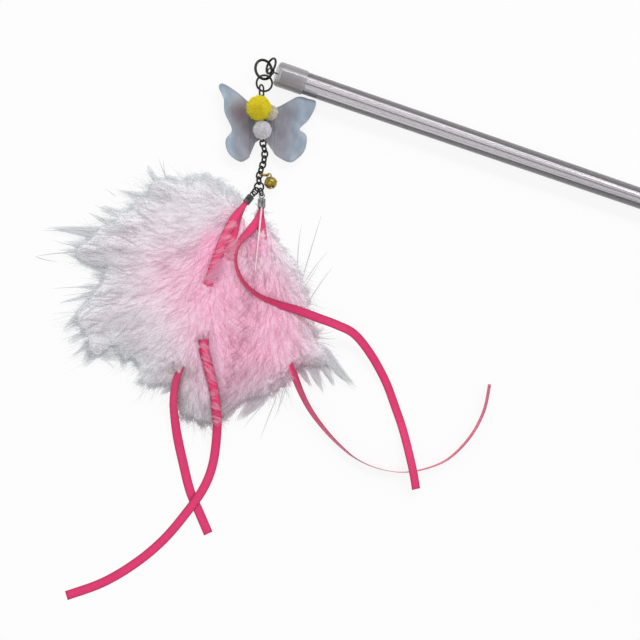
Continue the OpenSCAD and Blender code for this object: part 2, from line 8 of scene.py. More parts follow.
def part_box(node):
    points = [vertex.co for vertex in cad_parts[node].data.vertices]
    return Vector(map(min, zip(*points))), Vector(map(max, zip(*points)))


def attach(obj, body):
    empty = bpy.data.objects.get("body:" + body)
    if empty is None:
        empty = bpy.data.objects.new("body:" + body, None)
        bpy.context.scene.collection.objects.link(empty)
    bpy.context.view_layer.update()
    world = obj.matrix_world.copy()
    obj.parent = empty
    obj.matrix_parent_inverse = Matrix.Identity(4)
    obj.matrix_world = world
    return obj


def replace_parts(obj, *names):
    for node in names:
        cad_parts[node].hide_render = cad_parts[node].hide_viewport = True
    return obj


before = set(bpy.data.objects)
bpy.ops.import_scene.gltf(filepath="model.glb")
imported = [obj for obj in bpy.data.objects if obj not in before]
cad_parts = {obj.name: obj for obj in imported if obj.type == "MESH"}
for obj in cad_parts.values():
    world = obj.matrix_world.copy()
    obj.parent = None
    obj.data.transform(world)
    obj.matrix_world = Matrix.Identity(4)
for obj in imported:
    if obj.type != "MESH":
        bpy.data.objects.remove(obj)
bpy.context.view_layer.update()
rng = np.random.default_rng(7)

# The hanging parts are laid out in millimetres from the rod's tip, turned 15.2 degrees from the rod.
tip_lo, tip_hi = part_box("tip_cap")
TIP = np.array([tip_lo.x, (tip_lo.y + tip_hi.y) / 2, 0.0])
TURN = math.radians(15.2)
SPIN = np.array([[math.cos(TURN), -math.sin(TURN), 0], [math.sin(TURN), math.cos(TURN), 0], [0, 0, 1]])


def row(points):
    """Points of the hanging parts' frame, in metres in the scene."""
    return np.asarray(points, float) / 1000 @ SPIN.T + TIP


def millimetres(points):
    """The way back from row, for x and y."""
    return (points[:, :2] - TIP[:2]) @ SPIN[:2, :2] * 1000


def unit(v):
    return v / np.maximum(np.linalg.norm(v, axis=-1, keepdims=True), 1e-12)


# Camera: fitted to the rod, the rings and the butterfly of the photograph
tilt = math.radians(15)
right = SPIN @ np.array([math.cos(tilt), 0, math.sin(tilt)])
up = SPIN @ np.array([0.0, 1.0, 0.0])
back = SPIN @ np.array([-math.sin(tilt), 0, math.cos(tilt)])
eye = row([-95.29, -109.13, 435.63])
cam = bpy.data.objects.new("Camera", bpy.data.cameras.new("Camera"))
cam.matrix_world = Matrix([[right[i], up[i], back[i], eye[i]] for i in range(3)] + [[0, 0, 0, 1]])
cam.data.lens = 55.97
cam.data.sensor_width = 36
cam.data.clip_start = 0.01
bpy.context.scene.collection.objects.link(cam)
bpy.context.scene.camera = cam


# Materials
WHITE = (1, 1, 1)


def new_material(name):
    m = bpy.data.materials.new(name)
    m.use_nodes = True
    n = m.node_tree.nodes
    return m, n, m.node_tree.links, n["Principled BSDF"]


def feed(l, value, socket):
    """Sets a socket to a number, or links it."""
    if isinstance(value, (int, float)):
        socket.default_value = value
    else:
        l.new(value, socket)


def noise(n, l, scale, detail=4.0, stretch=None):
    """Noise in the object's own frame; stretch is given along and across the hanging parts."""
    where = n.new("ShaderNodeTexCoord")
    tex = n.new("ShaderNodeTexNoise")
    tex.inputs["Scale"].default_value = scale
    tex.inputs["Detail"].default_value = detail
    source = where.outputs["Object"]
    if stretch:
        m = n.new("ShaderNodeMapping")
        m.inputs["Scale"].default_value = stretch
        m.inputs["Rotation"].default_value = (0, 0, -TURN)
        l.new(source, m.inputs["Vector"])
        source = m.outputs["Vector"]
    l.new(source, tex.inputs["Vector"])
    return tex.outputs["Fac"]


def ramp(n, l, fac, stops):
    r = n.new("ShaderNodeValToRGB")
    while len(r.color_ramp.elements) < len(stops):
        r.color_ramp.elements.new(0.5)
    for e, (pos, col) in zip(r.color_ramp.elements, stops):
        e.position = pos
        e.color = (*col, 1)
    l.new(fac, r.inputs["Fac"])
    return r.outputs["Color"]


def spread(n, l, fac, low, high, start=0.3, end=0.7):
    """Maps a factor's start and end to low and high; 0.3 to 0.7 is where most of a noise lies."""
    m = n.new("ShaderNodeMapRange")
    names = ("Value", "From Min", "From Max", "To Min", "To Max")
    for name, value in zip(names, (fac, start, end, low, high)):
        feed(l, value, m.inputs[name])
    return m.outputs["Result"]


def bump(n, l, height, socket, distance, strength=0.5):
    b = n.new("ShaderNodeBump")
    b.inputs["Distance"].default_value = distance
    b.inputs["Strength"].default_value = strength
    l.new(height, b.inputs["Height"])
    l.new(b.outputs["Normal"], socket)


def multiply(n, l, fac, a, b):
    """Colour a, darkened by colour b as far as the factor says."""
    m = n.new("ShaderNodeMix")
    m.data_type = "RGBA"
    m.blend_type = "MULTIPLY"
    m.inputs[0].default_value = fac
    l.new(a, m.inputs[6])
    l.new(b, m.inputs[7])
    return m.outputs[2]


def combine(n, l, kind, a, b):
    m = n.new("ShaderNodeMath")
    m.operation = kind
    feed(l, a, m.inputs[0])
    feed(l, b, m.inputs[1])
    return m.outputs["Value"]


def mixed(n, l, fac, a, b):
    """A mix of two shaders; the factor is a share or a socket."""
    m = n.new("ShaderNodeMixShader")
    feed(l, fac, m.inputs["Fac"])
    l.new(a, m.inputs[1])
    l.new(b, m.inputs[2])
    return m.outputs["Shader"]


def lit_through(n, l, p, colour, share):
    """The surface with a share of the light that comes through thin fibres."""
    t = n.new("ShaderNodeBsdfTranslucent")
    l.new(colour, t.inputs["Color"])
    return mixed(n, l, share, p.outputs["BSDF"], t.outputs["BSDF"])


def show(n, l, shader):
    l.new(shader, n["Material Output"].inputs["Surface"])


def attribute(n, name):
    a = n.new("ShaderNodeAttribute")
    a.attribute_name = name
    return a


def metal(name, dark, light, rough, grain=900.0):
    """Plated or bare metal with fine uneven tarnish."""
    m, n, l, p = new_material(name)
    p.inputs["Metallic"].default_value = 0.9
    f = noise(n, l, grain)
    l.new(ramp(n, l, f, [(0.35, dark), (0.68, light)]), p.inputs["Base Color"])
    l.new(spread(n, l, f, rough, rough + 0.18), p.inputs["Roughness"])
    bump(n, l, noise(n, l, grain * 4), p.inputs["Normal"], 0.00005, 0.25)
    return m


def fibre(name, stops, grain, rough=0.85, depth=0.0003, sheen=0.25):
    """Felt, horn and yarn: a grain of colours from the stops and a rough surface."""
    m, n, l, p = new_material(name)
    f = noise(n, l, grain, 6)
    l.new(ramp(n, l, f, stops), p.inputs["Base Color"])
    p.inputs["Sheen Weight"].default_value = sheen
    l.new(spread(n, l, f, rough - 0.1, rough), p.inputs["Roughness"])
    bump(n, l, noise(n, l, grain * 3, 6), p.inputs["Normal"], depth, 0.7)
    return m


def cut_fibre(name):
    """Pompom fibres: they take their colour from the mesh and let some light through."""
    m, n, l, p = new_material(name)
    f = noise(n, l, 1500.0, 3)
    grain = ramp(n, l, f, [(0.3, (0.72, 0.72, 0.74)), (0.7, WHITE)])
    colour = multiply(n, l, 0.18, attribute(n, "Tint").outputs["Color"], grain)
    l.new(colour, p.inputs["Base Color"])
    l.new(spread(n, l, f, 0.75, 0.95), p.inputs["Roughness"])
    p.inputs["Sheen Weight"].default_value = 0.3
    bump(n, l, noise(n, l, 3000.0), p.inputs["Normal"], 0.0001, 0.3)
    show(n, l, lit_through(n, l, p, colour, 0.25))
    return m


def down_fibre(name, glow, clear):
    """Marabou with fine streaks; glow is the light through it, and a clear one fades by the mesh's alpha."""
    m, n, l, p = new_material(name)
    tint = attribute(n, "Tint")
    streak = n.new("ShaderNodeTexNoise")
    streak.inputs["Scale"].default_value = 1.0
    streak.inputs["Detail"].default_value = 3.0
    l.new(attribute(n, "Flow").outputs["Vector"], streak.inputs["Vector"])
    lines = ramp(n, l, streak.outputs["Fac"], [(0.3, (0.91, 0.91, 0.92)), (0.62, WHITE)])
    colour = multiply(n, l, 0.5, tint.outputs["Color"], lines)
    l.new(colour, p.inputs["Base Color"])
    l.new(spread(n, l, streak.outputs["Fac"], 0.7, 0.9), p.inputs["Roughness"])
    p.inputs["Specular IOR Level"].default_value = 0.2
    p.inputs["Sheen Weight"].default_value = 0.35
    bump(n, l, streak.outputs["Fac"], p.inputs["Normal"], 0.0002, 0.3)
    if glow:
        soft = lit_through(n, l, p, colour, glow)
        if clear:
            see = n.new("ShaderNodeBsdfTransparent")
            soft = mixed(n, l, tint.outputs["Alpha"], see.outputs["BSDF"], soft)
        show(n, l, soft)
    return m


def clear_plastic(name, face, edge, body, film, rough):
    """See-through plastic: a tinted film that is denser where it is seen edge on."""
    m, n, l, p = new_material(name)
    f = noise(n, l, 60.0, 5, (0.08, 1, 1))
    facing = n.new("ShaderNodeLayerWeight")
    facing.inputs["Blend"].default_value = 0.35
    colour = ramp(n, l, facing.outputs["Facing"], [(0.1, face), (0.9, edge)])
    smear = ramp(n, l, f, [(0.3, (0.75, 0.74, 0.77)), (0.7, WHITE)])
    l.new(multiply(n, l, 0.25, colour, smear), p.inputs["Base Color"])
    l.new(spread(n, l, f, rough, rough + 0.08), p.inputs["Roughness"])
    p.inputs["IOR"].default_value = 1.5
    p.inputs["Coat Weight"].default_value = 0.4
    bump(n, l, noise(n, l, 400.0), p.inputs["Normal"], 0.0001, 0.1)
    see = n.new("ShaderNodeBsdfTransparent")
    see.inputs["Color"].default_value = (*film, 1)
    dense = spread(n, l, facing.outputs["Facing"], body, min(body + 0.3, 0.95), 0.0, 1.0)
    wall = mixed(n, l, dense, see.outputs["BSDF"], p.outputs["BSDF"])
    gloss = n.new("ShaderNodeBsdfGlossy")
    gloss.inputs["Roughness"].default_value = rough * 0.6
    fresnel = n.new("ShaderNodeFresnel")
    fresnel.inputs["IOR"].default_value = 1.6
    show(n, l, mixed(n, l, fresnel.outputs["Fac"], wall, gloss.outputs["BSDF"]))
    return m


def organza():
    """Woven sheer cloth: fine threads both ways and soft cloudy dye over the mesh's own colours."""
    m, n, l, p = new_material("organza")
    threads = []
    for turn in (0.0, math.pi / 2):
        where = n.new("ShaderNodeTexCoord")
        place = n.new("ShaderNodeMapping")
        place.inputs["Rotation"].default_value = (0, 0, turn - TURN)
        wave = n.new("ShaderNodeTexWave")
        wave.inputs["Scale"].default_value = 620.0
        wave.inputs["Distortion"].default_value = 1.2
        l.new(where.outputs["Object"], place.inputs["Vector"])
        l.new(place.outputs["Vector"], wave.inputs["Vector"])
        threads.append(wave.outputs["Fac"])
    weave = combine(n, l, "MAXIMUM", *threads)
    cloud = noise(n, l, 260.0, 4, (1.6, 0.7, 1))
    dye = ramp(n, l, cloud, [(0.34, (0.66, 0.68, 0.72)), (0.66, WHITE)])
    dye = multiply(n, l, 0.55, attribute(n, "Tint").outputs["Color"], dye)
    cloth = ramp(n, l, weave, [(0.2, (0.7, 0.71, 0.73)), (0.8, WHITE)])
    cloth = multiply(n, l, 0.3, dye, cloth)
    l.new(cloth, p.inputs["Base Color"])
    l.new(spread(n, l, cloud, 0.5, 0.7), p.inputs["Roughness"])
    p.inputs["Sheen Weight"].default_value = 0.35
    bump(n, l, weave, p.inputs["Normal"], 0.00015, 0.5)
    show(n, l, lit_through(n, l, p, cloth, 0.3))
    return m


def satin():
    """Satin ribbon: fine warp lines along the mesh's own length, darker edges, a soft gloss."""
    m, n, l, p = new_material("satin_ribbon")
    weave = attribute(n, "Weave").outputs["Vector"]
    part = n.new("ShaderNodeSeparateXYZ")
    l.new(weave, part.inputs["Vector"])
    edge = ramp(n, l, part.outputs["X"], [(0.0, (0.84, 0.022, 0.17)), (0.62, (0.80, 0.018, 0.15)),
                                          (0.86, (0.56, 0.010, 0.10)), (1.0, (0.40, 0.008, 0.07))])
    f = noise(n, l, 220.0, 4)
    wear = ramp(n, l, f, [(0.3, (0.78, 0.7, 0.78)), (0.7, WHITE)])
    l.new(multiply(n, l, 0.4, edge, wear), p.inputs["Base Color"])
    l.new(spread(n, l, f, 0.34, 0.5), p.inputs["Roughness"])
    p.inputs["Sheen Weight"].default_value = 0.3
    lines = n.new("ShaderNodeTexWave")
    lines.inputs["Scale"].default_value = 5.0
    lines.inputs["Distortion"].default_value = 0.4
    l.new(weave, lines.inputs["Vector"])
    bump(n, l, lines.outputs["Fac"], p.inputs["Normal"], 0.00006, 0.4)
    return m


WIRE = metal("black_plated_wire", (0.018, 0.017, 0.016), (0.075, 0.072, 0.07), 0.24)
BRASS = metal("bell_brass", (0.30, 0.215, 0.035), (0.52, 0.40, 0.09), 0.24, 500.0)
STEEL = metal("ball_steel", (0.38, 0.38, 0.4), (0.6, 0.6, 0.62), 0.2)
CRIMP = metal("crimp_steel", (0.16, 0.16, 0.165), (0.42, 0.42, 0.43), 0.28, 700.0)
DARK_CRIMP = metal("crimp_dark", (0.045, 0.045, 0.045), (0.17, 0.17, 0.17), 0.3, 700.0)
FELT = fibre("felt", [(0.3, (0.5, 0.5, 0.52)), (0.7, (0.72, 0.72, 0.74))], 1400.0)
CAP = clear_plastic("milky_cap", face=(0.54, 0.52, 0.55), edge=(0.34, 0.32, 0.345), body=0.45,
                    film=(0.92, 0.91, 0.93), rough=0.2)
TUBE = clear_plastic("clear_tube", face=(0.64, 0.60, 0.64), edge=(0.46, 0.43, 0.47), body=0.17,
                     film=(0.965, 0.955, 0.965), rough=0.12)
QUILL = fibre("quill_horn", [(0.3, (0.80, 0.60, 0.64)), (0.7, (0.95, 0.86, 0.88))], 500.0, 0.45, 0.00005, 0.0)
DARK_PLY = fibre("cord_dark_ply", [(0.3, (0.05, 0.05, 0.055)), (0.7, (0.12, 0.12, 0.13))], 4000.0)
LIGHT_PLY = fibre("cord_light_ply", [(0.3, (0.38, 0.36, 0.38)), (0.7, (0.6, 0.57, 0.6))], 4000.0)
ORGANZA = organza()
SATIN = satin()
# The materials of the down, and their places in its slots
DOWN = [down_fibre("marabou_barbs", 0.45, True), down_fibre("marabou_body", 0, False),
        down_fibre("marabou_rim", 0.45, False)]
CLEAR, BODY, RIM = range(3)
FLUFF = cut_fibre("pompom_fibre")


def make(name, verts, faces, materials, body, colours=None, layer="Tint", index=None):
    """A mesh that rides on a body; the colours go into the named layer, index is each face's material."""
    mesh = bpy.data.meshes.new(name)
    mesh.from_pydata(np.asarray(verts, float).tolist(), [], [list(map(int, f)) for f in faces])
    for m in materials:
        mesh.materials.append(m)
    if colours is not None:
        flat = np.ones((len(verts), 4))
        flat[:, :colours.shape[1]] = colours
        mesh.color_attributes.new(layer, "FLOAT_COLOR", "POINT").data.foreach_set("color", flat.ravel())
    mesh.polygons.foreach_set("use_smooth", [True] * len(mesh.polygons))
    if index is not None:
        mesh.polygons.foreach_set("material_index", [int(i) for i in index])
    mesh.update()
    o = bpy.data.objects.new(name, mesh)
    bpy.context.scene.collection.objects.link(o)
    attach(o, body)
    return o


def skin(rings, sides, start=0):
    """Faces round a run of rings of points, closed at both ends."""
    def at(i, k):
        return start + i * sides + k % sides
    faces = [[at(i, k), at(i, k + 1), at(i + 1, k + 1), at(i + 1, k)]
             for i in range(rings - 1) for k in range(sides)]
    return faces + [[at(0, k) for k in range(sides)][::-1], [at(rings - 1, k) for k in range(sides)]]


def two_sides(around, rings):
    """Faces of a flat closed body: rings round a middle point, the upper side first, and the wall between."""
    m = around * rings + 1
    faces = []
    for k in range(0, (rings - 1) * around, around):
        for a in range(around):
            b = (a + 1) % around
            faces.append([k + a, k + b, k + around + b, k + around + a])
            faces.append([m + k + a, m + k + around + a, m + k + around + b, m + k + b])
    k = (rings - 1) * around
    for a in range(around):
        b = (a + 1) % around
        faces += [[k + a, k + b, m - 1], [m + k + a, 2 * m - 1, m + k + b], [a, m + a, m + b, b]]
    return faces


def strips(left, right):
    """Vertices and faces of narrow strips, from the points along their two edges."""
    n, k = left.shape[:2]
    start = (np.arange(n) * k * 2)[:, None] + (np.arange(k - 1) * 2)[None]
    faces = np.stack([start, start + 1, start + 3, start + 2], -1).reshape(-1, 4)
    return np.stack([left, right], 2).reshape(-1, 3), faces


def along_outline(outline, places):
    """Points at these shares of a closed outline's length."""
    seg = np.linalg.norm(np.roll(outline, -1, 0) - outline, axis=1)
    s = np.concatenate([[0], np.cumsum(seg)])
    u = places * s[-1]
    i = np.clip(np.searchsorted(s, u, side="right") - 1, 0, len(outline) - 1)
    f = ((u - s[i]) / seg[i])[:, None]
    return outline[i] * (1 - f) + np.roll(outline, -1, 0)[i] * f


def evenly(count):
    """Shares from 0 up to, but without, 1."""
    return np.linspace(0, 1, count, endpoint=False)


# Ribbons: the same routes as the solids (x, y, height in millimetres, roll in degrees)
ROUTES = {
    "left_ribbon_a": [
        [-12.14, -56.1, 2.1, 0], [-13.85, -58.4, 2.12, 0], [-18, -63.5, 5, 0], [-21.5, -69, 8, 0],
        [-24.5, -75, 10.4, 0], [-27.5, -82.5, 11.4, 0], [-30, -90, 11.6, 0], [-33, -99, 11.8, 10],
        [-36, -108, 12.2, 25], [-39, -119.5, 12.4, 45], [-42, -127.5, 10.8, 60], [-44.6, -135.5, 8, 45],
        [-45.3, -144, 5.4, 40], [-44.5, -152, 3.2, 30], [-43, -161, 1.8, 15], [-40.5, -172, 0.9, 0],
        [-37.5, -184, 0.3, 0], [-33.5, -193.5, 0.3, 0], [-29.5, -203, 0.3, 0],
    ],
    "left_ribbon_b": [
        [-12.14, -56.1, 1.6, 0], [-13.95, -58.5, 1.62, 0], [-17.2, -64.5, 3.5, 0], [-19.5, -71, 7.2, 0],
        [-22, -79, 9.8, 0], [-24.5, -88, 10.8, 0], [-27.5, -98, 11, 0], [-30.8, -109, 11, 0],
        [-33, -119, 10.6, 0], [-31.2, -128, 9.6, 0], [-28.8, -137, 9, 0], [-27, -147, 7, 0],
        [-26.2, -158, 3.6, 0], [-27.5, -172, 1, 0], [-31.5, -182.5, 1, 0], [-39, -193, 1, 0],
        [-49, -204.5, 0.5, 0], [-61, -214, 0.3, 0], [-75, -221.5, 0.3, 0], [-90, -226, 0.3, 0],
    ],
    "right_ribbon_a": [
        [-5.9, -57.6, 1.1, 0], [-6, -60, 1.2, 0], [-8.2, -65.4, 2.5, 0], [-12, -70, 5.6, 30],
        [-17, -75, 9.6, 60], [-19.4, -80.5, 11.8, 75], [-19.2, -86.5, 12, 75], [-16, -93, 12, 68],
        [-10, -98.3, 12, 60], [-2, -101.8, 11.8, 42], [8, -104.8, 11.4, 22], [18, -108.3, 10.8, 10],
        [27, -111.4, 9, 0], [36, -115.6, 6, 0], [44.6, -125, 3.5, 0], [52, -137, 1.8, 0],
        [57, -149, 0.9, 0], [61, -161, 1.6, 0], [64.2, -177, 4.5, 0], [66, -187, 4.5, 0],
    ],
    "right_ribbon_b": [
        [-5.9, -57.6, 0.8, 0], [-6, -60, 0.78, 0], [-6, -67, 2.1, 0], [-6, -75, 5.5, 0],
        [-6, -84, 8.6, 0], [-6, -95, 9.8, 0], [-5, -105, 9.8, 0], [-2.2, -115, 9.8, 0],
        [2.2, -124.5, 10, 15], [7, -133.5, 9.4, 45], [11.4, -142, 6, 60], [16.4, -150, 3.2, 65],
        [23, -158.6, 2.3, 72], [30, -166, 2.2, 78], [38, -172.4, 2.2, 85], [48, -177, 2.2, 85],
        [59.5, -179.3, 2.2, 85], [71, -178.3, 2.2, 85], [83, -173.9, 2.2, 85], [94, -163.8, 2.2, 85],
        [101, -152, 2.2, 85], [103.8, -139.5, 2.2, 85],
    ],
}
GATHER = [0.5, 0.6, 0.9]  # shares of the width where the crimp gathers the ribbon
ACROSS = [-1, -0.86, -0.5, 0, 0.5, 0.86, 1]  # shares of the half width
RIBBON_HALF, RIBBON_THICK, RIBBON_LOWEST, EDGE_SHARE = 2.0, 0.2, 0.26, 0.4
CURL, CURL_LENGTH, WEAVE_LENGTH = 0.12, 7.0, 40


def smooth_route(route, steps=6):
    """Catmull-Rom points on a route, with the width's share as a fifth value."""
    r = np.array([p + [GATHER[i] if i < len(GATHER) else 1.0] for i, p in enumerate(route)], float)
    out = []
    for i in range(len(r) - 1):
        a, b, c, d = r[max(i - 1, 0)], r[i], r[i + 1], r[min(i + 2, len(r) - 1)]
        for t in evenly(steps):
            square = (2 * a - 5 * b + 4 * c - d) * t ** 2
            out.append(0.5 * (2 * b + (c - a) * t + square + (3 * b - a - 3 * c + d) * t ** 3))
    out = np.array(out + [r[-1]])
    out[:, 2] = np.maximum(out[:, 2], RIBBON_LOWEST)
    return out


def ribbon(name, route, body):
    """A flat band that rolls and gathers along its route, with thin edges and a slight curl."""
    r = smooth_route(route)
    mid, n = r[:, :3], len(r)
    along = unit(np.gradient(mid, axis=0))
    flat = unit(np.cross([0, 0, 1.0], along))
    roll = np.radians(r[:, 3])[:, None]
    across = np.cos(roll) * flat + np.sin(roll) * np.cross(along, flat)
    face = np.cross(along, across)
    travel = np.concatenate([[0], np.cumsum(np.linalg.norm(np.diff(mid, axis=0), axis=1))])
    verts, weave = [], []
    for side in (1, -1):
        for s in ACROSS[::side]:
            curl = CURL * (s * s - 0.5) * np.sin(travel / CURL_LENGTH)[:, None]
            out = side * RIBBON_THICK / 2 * (EDGE_SHARE if abs(s) == 1 else 1) + curl
            verts.append(mid + across * s * RIBBON_HALF * r[:, 4:5] + face * out)
            weave.append(np.stack([np.full(n, abs(s)), np.full(n, s), travel / WEAVE_LENGTH], 1))
    faces = skin(n, len(verts))
    verts = row(np.stack(verts, 1).reshape(-1, 3))
    weave = np.stack(weave, 1).reshape(-1, 3)
    o = make(name.replace("ribbon", "satin"), verts, faces, [SATIN], body, weave, "Weave")
    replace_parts(o, name)


for name, route in ROUTES.items():
    ribbon(name, route, "left_tassel" if name.startswith("left") else "right_tassel")


# Down: thousands of tapered barbs in soft clumps, from the quill out to the feather's edge.
# Every length is in millimetres. First the outlines of both plumes, as the photograph shows them.
LEFT = np.array([
    [-18, -56.5], [-22.5, -52], [-26, -48.5], [-30, -47], [-34.5, -47.5], [-40, -48.5], [-44, -49],
    [-49, -48], [-53.5, -48], [-55, -51.5], [-56, -56], [-60.5, -57], [-63, -61.5], [-68, -62.5],
    [-69.5, -66], [-73, -68.5], [-77, -69.5], [-79.5, -72], [-81, -75.5], [-86, -78], [-87, -81.5],
    [-83.5, -84], [-78.5, -86], [-73.5, -86.5], [-74.5, -89.5], [-76, -94], [-78.5, -97], [-81, -100.5],
    [-84.5, -104], [-87, -107.5], [-86, -111], [-83, -113.5], [-81.5, -117.5], [-81, -122], [-79.5, -125],
    [-76, -124], [-73.5, -122], [-71.5, -119], [-69, -121], [-67.5, -124.5], [-65.5, -127], [-63.5, -125],
    [-60.5, -128], [-59.5, -132.5], [-58.5, -136.5], [-55, -138], [-50, -138], [-45, -137.5],
    [-43, -143.5], [-41.5, -151.5], [-37, -152], [-33.5, -154.5], [-28.5, -154.5], [-25, -150],
    [-22.5, -142], [-19, -131], [-15.5, -118], [-13.5, -104.5], [-12, -91.5], [-11, -80.5],
    [-10.5, -71.5], [-12.5, -64]
])
RIGHT = np.array([
    [-6, -61.5], [-9.5, -65], [-12, -71.5], [-13.5, -80.5], [-14.5, -91.5], [-16, -104.5], [-18, -118],
    [-21.5, -131], [-25, -142], [-26.5, -155], [-20.5, -149], [-13.5, -144], [-6, -143], [1, -140.5],
    [6, -136.5], [8, -131.5], [11, -129.5], [15.5, -129.5], [21.5, -130], [25.5, -128.5], [23, -123.5],
    [19.5, -120.5], [17.5, -116], [17.5, -111.5], [16, -105.5], [14.5, -101], [13.5, -95.5], [12, -90.5],
    [10.5, -86], [9, -82.5], [6, -79], [3, -76], [-0.5, -72.5], [-3, -68.5], [-4.5, -63.5]
])
UNION = np.concatenate([LEFT[:53], RIGHT[10:]])  # round both plumes, without the edges that overlap
# Soft pink patches: x, y, radius, strength
PINK = np.array([
    [-27, -77, 8, 0.75], [-30, -85, 7, 0.55], [-9, -76, 8, 0.65], [-18, -66, 7, 0.5],
    [-32, -102, 17, 0.45], [-21, -96, 14, 0.4], [-1, -108, 15, 0.5], [-30, -122, 14, 0.42],
    [-12, -124, 16, 0.4], [-46, -90, 16, 0.33], [3, -126, 13, 0.34], [-24, -138, 14, 0.32],
    [-4, -92, 10, 0.35]
])
# Where each ribbon is covered: between these two y the down lies over it
HIDDEN = {"left_ribbon_a": (-133, -91), "left_ribbon_b": (-119, -77), "right_ribbon_a": (0, 0),
          "right_ribbon_b": (-134, -64)}
LINES = {k: smooth_route(ROUTES[k], 3) for k in HIDDEN}
# Its height at the root, how far it rises from there, over what distance, and how wide the rim's slope is
ROOT_HEIGHT, CROWN, REACH, RIM_SLOPE = 1.2, 10.4, 45, 16
# How far it stands over a hidden ribbon and stays under one that shows, and the stretch where that changes
COVER, UNCOVER, HIDE_FADE, LOWEST_TOP = 0.9, 0.7, 5, 0.4
FLOW_AROUND, FLOW_LENGTH = 42, 6  # streaks round the root in a radian, and the length of one
BARB_STEPS, RIM_STEPS = 5, 6
LOWEST_BARB, LOWEST_EDGE = 0.3, 0.2
RIM_WHITE, INNER_GREY, ROSE = np.array([[0.93, 0.94, 0.955], [0.80, 0.765, 0.795], [0.97, 0.38, 0.62]])
HAIR_GREY, TUFT_PINK = np.array([[0.50, 0.505, 0.51], [1.0, 0.66, 0.84]])
GRID = 64
LATTICE = rng.random((GRID, GRID))


def cloud(x, y):
    """A soft random field from -1 to 1, about one swell a unit."""
    i, j = np.floor(x).astype(int), np.floor(y).astype(int)
    u, v = x - i, y - j
    u, v = u * u * (3 - 2 * u), v * v * (3 - 2 * v)

    def knot(a, b):
        return LATTICE[(i + a) % GRID, (j + b) % GRID]
    low = knot(0, 0) * (1 - u) * (1 - v) + knot(1, 0) * u * (1 - v)
    return 2 * (low + knot(0, 1) * (1 - u) * v + knot(1, 1) * u * v) - 1


def nearest(p, line):
    """The points of an open line that are nearest to these."""
    a, b = line[:-1], line[1:]
    ab = b - a
    t = np.clip(((p[:, None] - a) * ab).sum(2) / (ab ** 2).sum(1), 0, 1)
    q = a + t[:, :, None] * ab
    d = np.linalg.norm(p[:, None] - q, axis=2)
    return q[np.arange(len(p)), d.argmin(1)]


def inside(p, outline):
    """Which points lie within a closed outline."""
    x, y = p[:, 0], p[:, 1]
    held = np.zeros(len(p), bool)
    for (x1, y1), (x2, y2) in zip(outline, np.roll(outline, -1, axis=0)):
        crosses = (y1 > y) != (y2 > y)
        with np.errstate(divide="ignore", invalid="ignore"):
            held ^= crosses & (x < (x2 - x1) * (y - y1) / (y2 - y1) + x1)
    return held


def depth_share(p):
    """0 outside both plumes and at their rim, 1 deep inside."""
    p = p[:, :2]
    d = np.linalg.norm(p - nearest(p, np.vstack([UNION, UNION[:1]])), axis=1)
    return np.where(inside(p, UNION), np.clip(d / RIM_SLOPE, 0, 1), 0)


def top_height(p, root):
    """The height of the down's upper side, over the ribbons that it hides and under those that show."""
    e = depth_share(p)
    reach = np.clip(np.linalg.norm(p[:, :2] - root, axis=1) / REACH, 0, 1)
    h = (ROOT_HEIGHT + CROWN * (1 - (1 - reach) ** 2)) * (0.2 + 0.8 * np.sqrt(e))
    h = h * (1 + 0.07 * cloud(p[:, 0] / 7 + 9, p[:, 1] / 7))
    over, under = [], []
    for name, line in LINES.items():
        far = np.linalg.norm(p[:, None, :2] - line[None, :, :2], axis=2)
        at, d = line[far.argmin(1)], far.min(1)
        low, high = HIDDEN[name]
        y = at[:, 1] + 2.2 * cloud(p[:, 0] / 1.3, p[:, 1] / 1.3)
        hid = np.clip((y - low) / HIDE_FADE, 0, 1) * np.clip((high - y) / HIDE_FADE, 0, 1)
        mound = np.clip((20 - d) / 16, 0, 1) ** 1.5 * np.clip(0.2 + 2.4 * e, 0, 1)
        over.append((at[:, 2] + COVER + 1.8 * np.sin(np.radians(at[:, 3])), hid * mound))
        under.append((at[:, 2] - UNCOVER, (1 - hid) * np.clip((4.5 - d) / 2.3, 0, 1)))
    for z, k in over:
        h = h * (1 - k) + np.maximum(h, z) * k
    for z, k in under:
        h = h * (1 - k) + np.minimum(h, np.maximum(z, LOWEST_TOP)) * k
    return h


def down_colour(p):
    """Grey-white at the rim, pale inside, rose in soft patches, with painted shade that darkens the far end.
    """
    d = np.linalg.norm(p[:, None, :2] - PINK[None, :, :2], axis=2) / PINK[None, :, 2]
    pink = 1 - np.prod(1 - PINK[None, :, 3] * np.exp(-d ** 2), axis=1)[:, None]
    k = np.clip(depth_share(p) * 2.2, 0, 1)[:, None]
    c = RIM_WHITE * (1 - k) + INNER_GREY * k
    c = c * (1 - pink) + ROSE * pink
    # Painted shade: the far end of the plume is darkened where its form drops away.
    far_shade = 0.13 * np.clip((-122 - p[:, 1]) / 25, 0, 1) * np.clip((p[:, 0] + 60) / 20, 0, 1)
    return c * (1 - far_shade[:, None])


def square_to(v):
    """Flat vectors turned left by a quarter turn."""
    return np.stack([-v[..., 1], v[..., 0]], -1)


